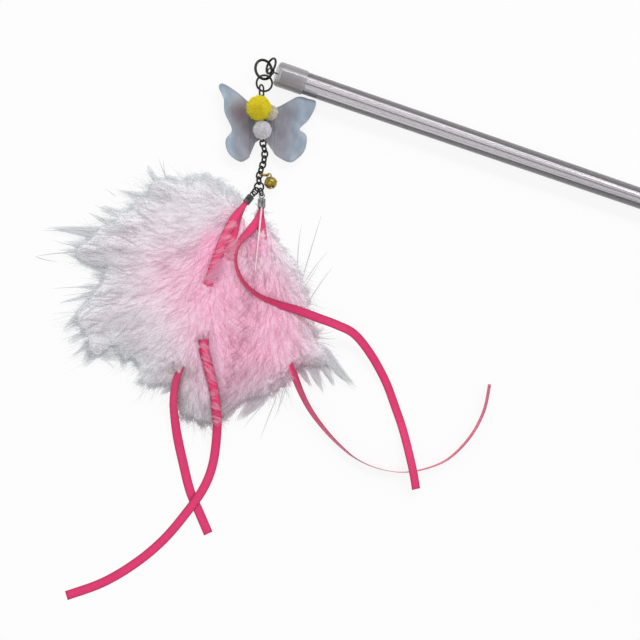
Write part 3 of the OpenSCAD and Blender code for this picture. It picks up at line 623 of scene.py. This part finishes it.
def barbs(base, bend, tip, width, lift, layer, root, steps, twist, curl):
    """Tapered strips on swaying quadratic curves; the layer is their share of the down's height."""
    n = len(base)
    t = np.linspace(0, 1, steps + 1)[None, :, None]
    mid = (1 - t) ** 2 * base[:, None] + 2 * t * (1 - t) * bend[:, None] + t ** 2 * tip[:, None]
    sway = rng.normal(0, 1, (n, 1, 2))
    mid = mid + sway * np.sin(t * math.pi * 1.6 + rng.uniform(0, 6, (n, 1, 1))) * curl * t
    top = top_height(mid.reshape(-1, 2), root).reshape(n, -1)
    z = np.maximum(top * layer[:, None] + lift[:, None], LOWEST_BARB)
    side = square_to(unit(np.gradient(mid, axis=1)))
    taper = np.clip(1.15 * (1 - t[..., 0]) ** 0.6, 0.1, 1) * np.clip(0.4 + 3 * t[..., 0], 0, 1)
    half = width[:, None] * taper / 2
    rise = half * np.sin(twist)[:, None]
    off = side * (half * np.cos(twist)[:, None])[..., None]
    left = np.concatenate([mid + off, np.maximum(z + rise, LOWEST_EDGE)[..., None]], -1)
    right = np.concatenate([mid - off, np.maximum(z - rise, LOWEST_EDGE)[..., None]], -1)
    verts, faces = strips(left, right)
    return verts, faces, np.repeat(np.tile(t[0, :, 0], n), 2)


# The layers of a plume: each gives vertices, faces, colours, alpha and the material's number
def soft_body(outline, root, heart):
    """Soft middle: a low crowned body, ragged at its rim."""
    around, shares = 260, np.linspace(1, 0.02, 38) ** 0.9
    inset, swell_height, sink, lowest_top, underside = 0.03, 0.22, 0.35, 0.3, 0.15
    spokes = along_outline(outline, evenly(around)) - heart
    ragged = (1 + 0.015 * cloud(np.arange(around) / 2.3, np.zeros(around)) - inset)[:, None]
    rings = [heart + spokes * (k * (ragged if k > 0.8 else 1 - inset)) for k in shares]
    flat = np.concatenate(rings + [heart[None]])
    d = flat - root
    angle, far = np.arctan2(d[:, 1], d[:, 0]), np.linalg.norm(d, axis=1)
    swell = sum(k * cloud(angle * a, far / b) for k, a, b in ((0.5, 9, 9), (0.3, 30, 5), (0.2, 60, 3)))
    z = top_height(flat, root) + swell * swell_height * np.clip(depth_share(flat) * 2, 0, 1) - sink
    top = np.column_stack([flat, np.maximum(z, lowest_top)])
    verts = np.concatenate([top, np.column_stack([flat, np.full(len(flat), underside)])])
    # Painted light and shade: the body is lighter on the rises of its swell and darker in its dips.
    tone_and_shade = 1 + 0.03 * np.tile(swell, 2)[:, None]
    return verts, two_sides(around, len(shares)), down_colour(verts) * tone_and_shade, np.ones(len(verts)), BODY


def short_barbs(outline, root, spine, count):
    """Short barbs all over the body, away from the root and the quill."""
    quill_reach, fan, shortest, longest, bow = 22, 0.32, 5, 13, 1.2
    p = rng.uniform(outline.min(0), outline.max(0), (count * 3, 2))
    p = p[inside(p, outline)][:count]
    n = len(p)
    off = p - nearest(p, spine)
    beside = np.clip(np.linalg.norm(off, axis=1, keepdims=True) / quill_reach, 0, 1)
    way = unit(unit(p - root) * 0.6 + unit(off) * 0.7 * beside)
    turn = rng.normal(0, fan, (n, 1))
    way = way * np.cos(turn) + square_to(way) * np.sin(turn)
    tip = p + way * rng.uniform(shortest, longest, (n, 1))
    bend = (p + tip) / 2 + square_to(way) * rng.normal(0, bow, (n, 1))
    width, lift = rng.uniform(0.25, 0.7, n), rng.uniform(-0.1, 0.15, n)
    layer, twist = rng.uniform(0.97, 1.01, n), rng.normal(0, 0.1, n)
    v, f, t = barbs(p, bend, tip, width, lift, layer, root, BARB_STEPS, twist, 0.4)
    shade = np.repeat(rng.normal(0, 0.015, n), 2 * (BARB_STEPS + 1))
    return v, f, down_colour(v) * (1 + shade[:, None]), 0.34 - 0.22 * t, CLEAR


def rim_barbs(outline, root, spine, count, clumps, skip):
    """Barbs that end in clumps at the rim and past it, save in the boxes to skip (x, x, y, y)."""
    past, past_spread, stray, stray_share = 0.4, 0.9, 1.8, 0.14
    scatter, tip_scatter, cut_scatter, bow = 1.6, 0.35, 2.6, 0.8
    aims = along_outline(outline, (np.arange(clumps) + rng.uniform(0.1, 0.9, clumps)) / clumps)
    outward = unit(aims - outline.mean(0))
    out = rng.normal(past, past_spread, (clumps, 1))
    aims = aims + outward * (out + stray * (rng.random((clumps, 1)) < stray_share))
    for x0, x1, y0, y1 in skip:
        boxed = (x0 < aims[:, 0]) & (aims[:, 0] < x1) & (y0 < aims[:, 1]) & (aims[:, 1] < y1)
        aims = aims[~boxed]
    aim = aims[rng.integers(0, len(aims), count)]
    span = rng.uniform(0.08, 0.34, (count, 1))
    base = aim + (nearest(aim, spine) - aim) * span + rng.normal(0, 1, (count, 2)) * scatter
    whole = rng.random((count, 1)) < 0.5
    cut = np.where(whole, rng.uniform(0.9, 1.02, (count, 1)), rng.uniform(0.55, 0.95, (count, 1)))
    loose = tip_scatter + cut_scatter * np.clip(1 - cut, 0, 1)
    tip = base + (aim - base) * cut + rng.normal(0, 1, (count, 2)) * loose
    bend = (base + tip) / 2 + rng.normal(0, bow, (count, 2))
    width, lift = rng.uniform(0.3, 0.9, count), rng.uniform(-0.2, 0.3, count)
    layer, twist = rng.uniform(0.4, 1.0, count), rng.normal(0, 0.15, count)
    v, f, t = barbs(base, bend, tip, width, lift, layer, root, RIM_STEPS, twist, 0.6)
    shade = np.repeat(rng.normal(0, 0.015, count), 2 * (RIM_STEPS + 1))
    return v, f, down_colour(v) * (1 + shade - 0.04 * t)[:, None], np.ones(len(v)), RIM


def lock(root, x0, y0, x1, y1, w, count):
    """A pointed lock that stands out of the rim, w wide at its root."""
    a, b = np.array([x0, y0]), np.array([x1, y1])
    across = unit(square_to(b - a))
    s = rng.uniform(-0.5, 0.5, (count, 1))
    base = a - (b - a) * rng.uniform(0.1, 0.5, (count, 1)) + across * s * w
    cut = rng.uniform(0.55, 1.0, (count, 1))
    tip = base + (b + across * s * w * 0.12 - base) * cut + rng.normal(0, 0.25, (count, 2))
    bend = (base + tip) / 2 + across * s * w * 0.35
    width, lift = rng.uniform(0.45, 1.1, count), rng.uniform(-0.2, 0.3, count)
    layer, twist = rng.uniform(0.5, 1.0, count), rng.normal(0, 0.1, count)
    v, f, t = barbs(base, bend, tip, width, lift, layer, root, RIM_STEPS, twist, 0.4)
    return v, f, down_colour(v) * (0.98 - 0.06 * t)[:, None], np.ones(len(v)), RIM


def bare_hairs(root, hairs):
    """Single hairs that stand clear of the down."""
    base, tip, width = hairs[:, :2], hairs[:, 2:4], hairs[:, 4]
    n = len(hairs)
    bend = (base + tip) / 2 + rng.normal(0, 0.5, (n, 2))
    v, f, _ = barbs(base, bend, tip, width, np.zeros(n), np.full(n, 0.8), root, RIM_STEPS, np.zeros(n), 0.25)
    return v, f, np.tile(HAIR_GREY, (len(v), 1)), np.full(len(v), 0.85), CLEAR


def tufts(root, places, each=26):
    """Thin tufts that lie across a ribbon."""
    w = np.repeat(places, each, axis=0)
    n = len(w)
    turn = np.radians(w[:, 2] + rng.normal(0, 12, n))
    way = np.column_stack([np.cos(turn), np.sin(turn)])
    base = w[:, :2] - way * w[:, 3:4] * 0.5 + rng.normal(0, 1.15, (n, 2))
    tip = base + way * w[:, 3:4] * rng.uniform(0.7, 1.1, (n, 1))
    bend = (base + tip) / 2 + rng.normal(0, 0.4, (n, 2))
    width, lift = rng.uniform(0.2, 0.45, n), w[:, 4] + rng.uniform(0, 0.4, n)
    v, f, t = barbs(base, bend, tip, width, lift, np.zeros(n), root, BARB_STEPS, np.zeros(n), 0.3)
    return v, f, down_colour(v) * 0.4 + TUFT_PINK * 0.6, 0.46 - 0.25 * t, CLEAR


def down(name, node, body, outline, root, heart, spine, short, rim, clumps, skip, locks, hairs, across):
    """One plume: it fans out from its root, and short and rim are the numbers of barbs."""
    root, spine = np.array(root), np.array(spine, float)
    layers = [soft_body(outline, root, np.array(heart)), short_barbs(outline, root, spine, short),
              rim_barbs(outline, root, spine, rim, clumps, skip)]
    layers += [lock(root, *values) for values in locks]
    layers += [bare_hairs(root, np.array(hairs)), tufts(root, np.array(across, float))]
    first, faces, index = 0, [], []
    for v, f, _, _, material in layers:
        faces += [[first + i for i in corners] for corners in f]
        index += [material] * len(f)
        first += len(v)
    verts, colours, alpha = (np.concatenate([q[k] for q in layers]) for k in (0, 2, 3))
    tint = np.column_stack([np.clip(colours, 0, 1), alpha])
    o = make(name, row(verts), faces, DOWN, body, tint, index=index)
    d = verts[:, :2] - root
    angle, far = np.arctan2(d[:, 1], d[:, 0]), np.linalg.norm(d, axis=1)
    flow = np.column_stack([angle * FLOW_AROUND, far / FLOW_LENGTH, np.zeros(len(d))])
    o.data.attributes.new("Flow", "FLOAT_VECTOR", "POINT").data.foreach_set("vector", flow.ravel())
    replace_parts(o, node)


# Locks: x, y at the root and at the tip, width, count. Hairs: x, y at the root and at the tip, width.
# Tufts: x, y, direction in degrees, length, height.
LEFT_QUILL_LINE = [[-15, -60], [-20, -68], [-27, -78], [-34, -88], [-38, -98], [-38, -118]]
LEFT_LOCKS = [
    (-38, -49.5, -39, -44.5, 3.5, 14), (-52, -49.5, -57, -41.5, 2.2, 16),
    (-54, -52, -58.5, -50.5, 2.6, 14), (-55, -54.5, -58.5, -54, 2.2, 12),
    (-55, -56.5, -69.5, -53.5, 4.4, 30), (-62, -60.5, -66, -58.5, 2.2, 10),
    (-70.5, -63, -77.5, -60.5, 2.6, 16), (-71, -68, -80.5, -64, 3.5, 20),
    (-74.5, -72, -98.5, -70.5, 4.8, 54), (-79.5, -78, -91.5, -76.5, 4.4, 26),
    (-83, -82, -93.5, -80, 5.3, 24), (-74.5, -90.5, -81, -90, 2.6, 14), (-76.5, -95, -86, -95, 2.2, 14),
    (-78.5, -98, -93, -102, 2.6, 22), (-82, -106, -92, -114, 5.7, 42),
    (-81.5, -114, -89.5, -119, 3.1, 20), (-80.5, -119, -87.5, -124.5, 3.1, 20),
    (-79, -122.5, -82.5, -129.5, 5.7, 38), (-74.5, -122, -74.5, -126, 2.6, 14),
    (-70, -121, -70.5, -125.5, 2.6, 16), (-66.5, -125, -66, -131, 3.5, 24),
    (-58.5, -136.5, -61.5, -135.5, 2.2, 12), (-45, -138.5, -52, -142, 1.8, 12),
    (-38, -151.5, -39, -155, 3.5, 12), (-33, -153.5, -33, -157, 3.1, 14)
]
LEFT_HAIRS = [
    (-47.5, -48.5, -51.5, -39, 0.4), (-48.5, -48, -49.5, -39, 0.3), (-87, -80.5, -102.5, -82.5, 0.4),
    (-102.5, -82.5, -93.5, -84.5, 0.35), (-77, -95, -95.5, -96, 0.35), (-78.5, -97, -92, -99, 0.25),
    (-87.5, -70.5, -100, -71.5, 0.3), (-83, -78, -96.5, -75.5, 0.25), (-82, -113.5, -92, -117.5, 0.3),
    (-71, -63, -78.5, -60, 0.3), (-71, -68, -81, -63.5, 0.35), (-69.5, -56.5, -74.5, -53, 0.25),
    (-80.5, -119, -88.5, -125, 0.25)
]
LEFT_TUFTS = [
    (-20.5, -76, -150, 5, 10.6), (-22, -79, -150, 6, 11.2), (-22.5, -82, -150, 7, 11.6),
    (-27, -86, -150, 7, 12.6), (-28, -88, -140, 7, 12.7), (-29, -90, -155, 7, 12.8),
    (-29, -91, -130, 6, 12.9), (-31.5, -92, -155, 6, 12.9), (-22, -69, -150, 6, 10.2),
    (-24.5, -74, -150, 6, 11.6), (-27, -80, -155, 6, 12), (-29, -85, -160, 6, 12.2),
    (-30.5, -90, -150, 6, 12.4), (-32, -121, -35, 5, 11), (-31, -126, -35, 5, 10.6),
    (-30, -131, -35, 5, 10), (-29, -135, -35, 5, 9.6), (-27.5, -141, -30, 4.5, 8.8),
    (-27, -147, -30, 4.5, 7.7), (-26.5, -153, -30, 4, 6)
]
RIGHT_QUILL_LINE = [[-6, -62], [-6.5, -72], [-5, -84], [-2, -96], [0, -110], [0, -124]]
RIGHT_LOCKS = [
    (-7.5, -143.5, -17, -154, 6.6, 46), (12, -131, 17.5, -140, 3.1, 22), (17, -130, 23, -142.5, 4.0, 28),
    (22.5, -130, 28, -139.5, 4.4, 26), (26, -128, 38, -140.5, 5.3, 40), (23.5, -123.5, 30, -129, 3.5, 20)
]
RIGHT_HAIRS = [
    (10.5, -88, 12.5, -66, 0.45), (12.5, -91.5, 22, -61, 0.45), (13.5, -92.5, 24.5, -77.5, 0.35),
    (14, -94.5, 20.5, -84, 0.3), (15, -102.5, 27, -85, 0.45), (-1.5, -143, -14.5, -157.5, 0.4),
    (1, -143, -6.5, -162.5, 0.4), (4.5, -139, 1.5, -152, 0.35), (5.5, -138.5, -0.5, -153.5, 0.3),
    (17.5, -121, 29, -123.5, 0.3), (18.5, -118.5, 29, -122, 0.3), (16.5, -117, 29, -117.5, 0.3),
    (17.5, -116, 28, -114, 0.3), (18.5, -112.5, 22, -110.5, 0.3)
]
RIGHT_TUFTS = [(4, -131, -50, 4, 9.8), (6, -134, -55, 4, 9.4)]
down("left_down", "left_plume", "left_tassel", LEFT, root=(-13.9, -58.5), heart=(-52.0, -95.0),
     spine=LEFT_QUILL_LINE, short=3000, rim=3800, clumps=150, skip=[(-29, 0, -151, -58)],
     locks=LEFT_LOCKS, hairs=LEFT_HAIRS, across=LEFT_TUFTS)
down("right_down", "right_plume", "right_tassel", RIGHT, root=(-6.0, -60.6), heart=(4.0, -118.0),
     spine=RIGHT_QUILL_LINE, short=1700, rim=1900, clumps=84, skip=[(-30, -8, -138, -62)],
     locks=RIGHT_LOCKS, hairs=RIGHT_HAIRS, across=RIGHT_TUFTS)


# Pompoms: cut fibres that stand out from a soft middle
def pompom(name, node, colour, count, whole=None, fuller=1.0):
    """A ball of fluff; whole is its x, y, z and radius in millimetres where the solid is pressed flat."""
    lo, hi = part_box(node)
    centre, r = np.array((lo + hi) / 2), min(hi.x - lo.x, hi.y - lo.y) / 2
    if whole:
        centre, r = row(whole[:3]), whole[3] / 1000
    r *= fuller
    colour = np.array(colour)
    d = unit(rng.normal(0, 1, (count, 3)))
    stray = rng.random(count) < 0.06
    out = r * np.where(stray, rng.uniform(1.0, 1.07, count), rng.uniform(0.86, 1.0, count))
    lean = unit(np.cross(d, rng.normal(0, 1, (count, 3))))
    steps, bow = np.array([0.45, 0.72, 1.0]), r * 0.16 * np.array([0, 0.25, 1.0])
    mid = d[:, None] * (out[:, None] * steps)[..., None]
    mid = mid + lean[:, None] * bow[None, :, None] * rng.uniform(0, 1, (count, 1, 1))
    half_width = np.array([0.20, 0.22, 0.07]) / 1000
    side = np.cross(d, lean)[:, None] * half_width[None, :, None]
    verts, faces = strips(mid + side, mid - side)
    # Random tone for each fibre, plus painted shade: the fibres darken towards the middle of the ball and are
    # lighter at their tips.
    tone_and_shade = np.repeat(rng.normal(0, 0.035, count), 6) + np.tile(np.repeat([-0.12, -0.04, 0.03], 2), count)
    tint = np.clip(colour * (1 + tone_and_shade[:, None]), 0, 1)
    bm = bmesh.new()
    bmesh.ops.create_icosphere(bm, subdivisions=4, radius=r * 0.84)
    core = np.array([v.co for v in bm.verts])
    lumps = 1 + 0.035 * np.sin(core[:, :1] * 9000) * np.cos(core[:, 1:2] * 8000 + core[:, 2:] * 7000)
    faces = faces.tolist() + [[len(verts) + v.index for v in f.verts] for f in bm.faces]
    bm.free()
    verts = np.concatenate([verts, core * lumps]) + centre
    # The soft middle gets painted shade: it is a little darker than the fibres' own colour.
    tint = np.concatenate([tint, np.tile(colour * 0.95, (len(core), 1))])
    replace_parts(make(name, verts, faces, [FLUFF], "hanger", tint), node)


pompom("yellow_fluff", "yellow_pompom", (1.0, 0.88, 0.025), 3800, fuller=1.08)
pompom("cream_fluff", "cream_pompom", (0.86, 0.82, 0.68), 2200, whole=(-3.4, -17.9, 7.5, 3.6))
pompom("white_fluff", "white_pompom", (0.90, 0.89, 0.92), 2600)


# Butterfly: cloth cut to the solids' outlines, with soft waves and a rolled hem
CLOTH_HALF, HEM, HEM_DIP, HEM_DARK = 0.14, 0.10, -0.03, 0.9
CLOTH_SHARES = [1.0, 0.985, 0.955, 0.93, 0.85, 0.75, 0.62, 0.48, 0.34, 0.2, 0.08]
CLOTH_AROUND = 160
BLUE, MAUVE = np.array([[0.52, 0.61, 0.71], [0.47, 0.45, 0.50]])


def outline_of(node):
    """The rim of a node's flat upper side: the edges that its faces don't share."""
    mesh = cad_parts[node].data
    top = max(v.co.z for v in mesh.vertices)
    edges = []
    for f in mesh.polygons:
        corners = list(f.vertices)
        if all(abs(mesh.vertices[v].co.z - top) < 1e-6 for v in corners):
            edges += zip(corners, corners[1:] + corners[:1])
    known = set(edges)
    after = {a: b for a, b in edges if (b, a) not in known}
    start = next(iter(after))
    loop, here = [start], after[start]
    while here != start:
        loop.append(here)
        here = after[here]
    return np.array([mesh.vertices[v].co[:2] for v in loop])


def cloth(name, node, heart, body, wave, tint, wider=0.0):
    """A sheet round its heart; wider is how far it reaches under the folds on either side."""
    loop = millimetres(outline_of(node))
    loop[:, 0] += np.sign(loop[:, 0] - heart[0]) * wider
    loop = along_outline(loop, evenly(CLOTH_AROUND))
    n = len(loop)
    flat = np.concatenate([heart + (loop - heart) * k for k in CLOTH_SHARES] + [np.array([heart])])
    hem = np.zeros(len(flat))
    hem[n:3 * n] = HEM
    hem[3 * n:4 * n] = HEM_DIP
    lo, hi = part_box(node)
    middle, height = (lo.z + hi.z) / 2 * 1000, wave(flat)
    sides = [np.column_stack([flat, middle + height + k * (CLOTH_HALF + hem)]) for k in (1, -1)]
    colours = tint(flat)
    colours[n:3 * n] *= HEM_DARK
    colours = np.clip(np.concatenate([colours, colours]), 0, 1)
    verts, faces = row(np.concatenate(sides)), two_sides(n, len(CLOTH_SHARES))
    o = make(name, verts, faces, [ORGANZA], body, colours)
    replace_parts(o, node)


def wing_tint(inner_x, side, dark_patches):
    """Mauve at the fold and blue outside, with dark patches: x, y, radius, colour, strength."""
    def f(p):
        d = np.clip(side * (p[:, 0] - inner_x) / 17, 0, 1)[:, None]
        k = np.clip(1.25 - 1.9 * d, 0, 1)
        c = BLUE * (1 - k) + MAUVE * k
        c = c * (1 + 0.10 * np.sin(p[:, :1] * 0.9 + p[:, 1:] * 0.5) * np.cos(p[:, 1:] * 0.35))
        for x, y, r, col, s in dark_patches:
            g = s * np.exp(-((p[:, :1] - x) ** 2 + (p[:, 1:] - y) ** 2) / r ** 2)
            c = c * (1 - g) + np.array(col) * g
        return c
    return f


def flutter(hinge, side, height=0.45, pitch=0.42, full=9, slope=0.03):
    """A wing's wave, which grows away from its hinge."""
    def f(p):
        d = np.clip(side * (p[:, 0] - hinge), 0, None)
        return height * np.sin(p[:, 1] * pitch + 1.0) * np.clip(d / full, 0, 1) + slope * d
    return f


def tucked(p, middle=-6.2, half=4.9, dip=0.12):
    """The middle strip dips where it goes under the folds."""
    return -dip * np.clip(np.abs(p[:, 0] - middle) - half, 0, 1)


cloth("left_wing_cloth", "left_wing", (-16.0, -22.0), "left_wing", flutter(-11.6, -1),
      wing_tint(-10, -1, [(-16.5, -18, 4.2, (0.33, 0.20, 0.225), 0.85),
                          (-14, -24, 5, (0.27, 0.22, 0.26), 0.5)]))
cloth("right_wing_cloth", "right_wing", (4.5, -22.0), "right_wing", flutter(-0.8, 1),
      wing_tint(-1.5, 1, [(6, -17, 4.5, (0.26, 0.25, 0.31), 0.6), (3, -26, 6, (0.30, 0.27, 0.33), 0.6)]))
cloth("middle_cloth", "wing_centre", (-6.2, -21.0), "hanger", tucked,
      wing_tint(-6.2, 1, [(-6.2, -22, 9, (0.27, 0.25, 0.29), 0.75)]), wider=0.45)


# The cord in the rod: two plies, laid round each other
def tube(points, radius, sides, start=0):
    """A round skin along a line; start is the number of its first vertex."""
    along = unit(np.gradient(points, axis=0))
    ref = np.tile([0.0, 0.0, 1.0], (len(points), 1))
    ref[np.abs(along[:, 2]) > 0.9] = [1.0, 0.0, 0.0]
    a = unit(np.cross(along, ref))[:, None]
    b = np.cross(along[:, None], a)
    turn = 2 * math.pi * evenly(sides)[None, :, None]
    ring = points[:, None] + radius * (a * np.cos(turn) + b * np.sin(turn))
    return ring.reshape(-1, 3), skin(len(points), sides, start)


def laid_cord(lay=0.0034, step=0.0003, sides=6):
    """Both plies, from end to end of the solid cord."""
    lo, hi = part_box("core_cord")
    axis_y, axis_z = (lo.y + hi.y) / 2, (lo.z + hi.z) / 2
    ply = (hi.z - lo.z) / 4
    x = np.arange(lo.x, hi.x, step)
    verts, faces = [], []
    for start in (0, math.pi):
        turn = (x - lo.x) / lay * 2 * math.pi + start
        line = np.column_stack([x, axis_y + ply * np.cos(turn), axis_z + ply * np.sin(turn)])
        v, f = tube(line, ply, sides, sum(len(q) for q in verts))
        verts.append(v)
        faces += f
    index = [0] * (len(faces) // 2) + [1] * (len(faces) // 2)
    o = make("laid_cord", np.concatenate(verts), faces, [DARK_PLY, LIGHT_PLY], "wand", index=index)
    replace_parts(o, "core_cord")


def knot(node, body):
    """A trefoil of yarn that fills the knot's box."""
    lo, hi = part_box(node)
    centre, r = np.array((lo + hi) / 2), (hi.x - lo.x) / 2
    t = np.linspace(0, 2 * math.pi, 90)
    wide = 0.225
    line = np.column_stack([np.sin(3 * t) * 0.62, (np.sin(t) + 2 * np.sin(2 * t)) * wide,
                            (np.cos(t) - 2 * np.cos(2 * t)) * wide])
    v, f = tube(line * r + centre, r * 0.3, 8)
    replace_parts(make(node + "_cord", v, f, [LIGHT_PLY], body), node)


laid_cord()
knot("tip_knot", "tip_swivel")
knot("butt_knot", "wand")

# Finishes of the solids that stay
FINISH = {
    "rod_tube": TUBE, "tip_cap": CAP, "butt_cap": CAP, "felt_pad": FELT,
    "bell_ring": BRASS, "bell_upper": BRASS, "bell_lower": BRASS, "bell_loop": BRASS, "bell_ball": STEEL,
    "left_crimp": DARK_CRIMP, "right_crimp": CRIMP, "left_quill": QUILL, "right_quill": QUILL,
}
for name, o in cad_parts.items():
    o.data.materials.clear()
    o.data.materials.append(FINISH.get(name, WIRE))


# Floor: pale, and brighter where the camera sees it, in a reflection or through the plastic
def pale_floor(half=6, grey=0.86, glow_share=0.86):
    mesh = bpy.data.meshes.new("floor")
    corners = [(-half, -half, 0), (half, -half, 0), (half, half, 0), (-half, half, 0)]
    mesh.from_pydata(corners, [], [(0, 1, 2, 3)])
    floor = bpy.data.objects.new("floor", mesh)
    bpy.context.scene.collection.objects.link(floor)
    m, n, l, p = new_material("pale_floor")
    p.inputs["Base Color"].default_value = (grey, grey, grey, 1)
    p.inputs["Roughness"].default_value = 0.9
    glow = n.new("ShaderNodeEmission")
    glow.inputs["Color"].default_value = (*WHITE, 1)
    ray = n.new("ShaderNodeLightPath").outputs
    seen = combine(n, l, "MAXIMUM", ray["Is Camera Ray"], ray["Is Glossy Ray"])
    seen = combine(n, l, "MAXIMUM", seen, ray["Is Transmission Ray"])
    share = combine(n, l, "MULTIPLY", seen, glow_share)
    show(n, l, mixed(n, l, share, p.outputs["BSDF"], glow.outputs["Emission"]))
    mesh.materials.append(m)


def studio():
    """White to the camera, and a softer light from one side for everything else."""
    world = bpy.data.worlds.new("studio")
    world.use_nodes = True
    bpy.context.scene.world = world
    n, l = world.node_tree.nodes, world.node_tree.links
    way = n.new("ShaderNodeSeparateXYZ")
    l.new(n.new("ShaderNodeTexCoord").outputs["Generated"], way.inputs["Vector"])
    soft = spread(n, l, way.outputs["Y"], 0.44, 0.80, -1.0, 1.0)
    seen = n.new("ShaderNodeLightPath").outputs["Is Camera Ray"]
    n["Background"].inputs["Color"].default_value = (*WHITE, 1)
    l.new(spread(n, l, seen, soft, 1.0, 0.0, 1.0), n["Background"].inputs["Strength"])


def lamp(name, where, aim, size, size_y, power):
    d = bpy.data.lights.new(name, "AREA")
    d.shape = "RECTANGLE"
    d.size, d.size_y = size, size_y
    d.energy = power
    o = bpy.data.objects.new(name, d)
    o.location = where
    o.rotation_euler = (Vector(aim) - Vector(where)).to_track_quat("-Z", "Y").to_euler()
    bpy.context.scene.collection.objects.link(o)


pale_floor()
studio()
lamp("strip", (0.05, 0.95, 1.10), (0.0, 0.05, 0.0), 1.8, 0.24, 9.0)
lamp("fill", (-0.75, -0.45, 1.15), (-0.1, -0.02, 0.0), 0.8, 0.8, 3.0)

bpy.context.scene.view_settings.view_transform = "Standard"
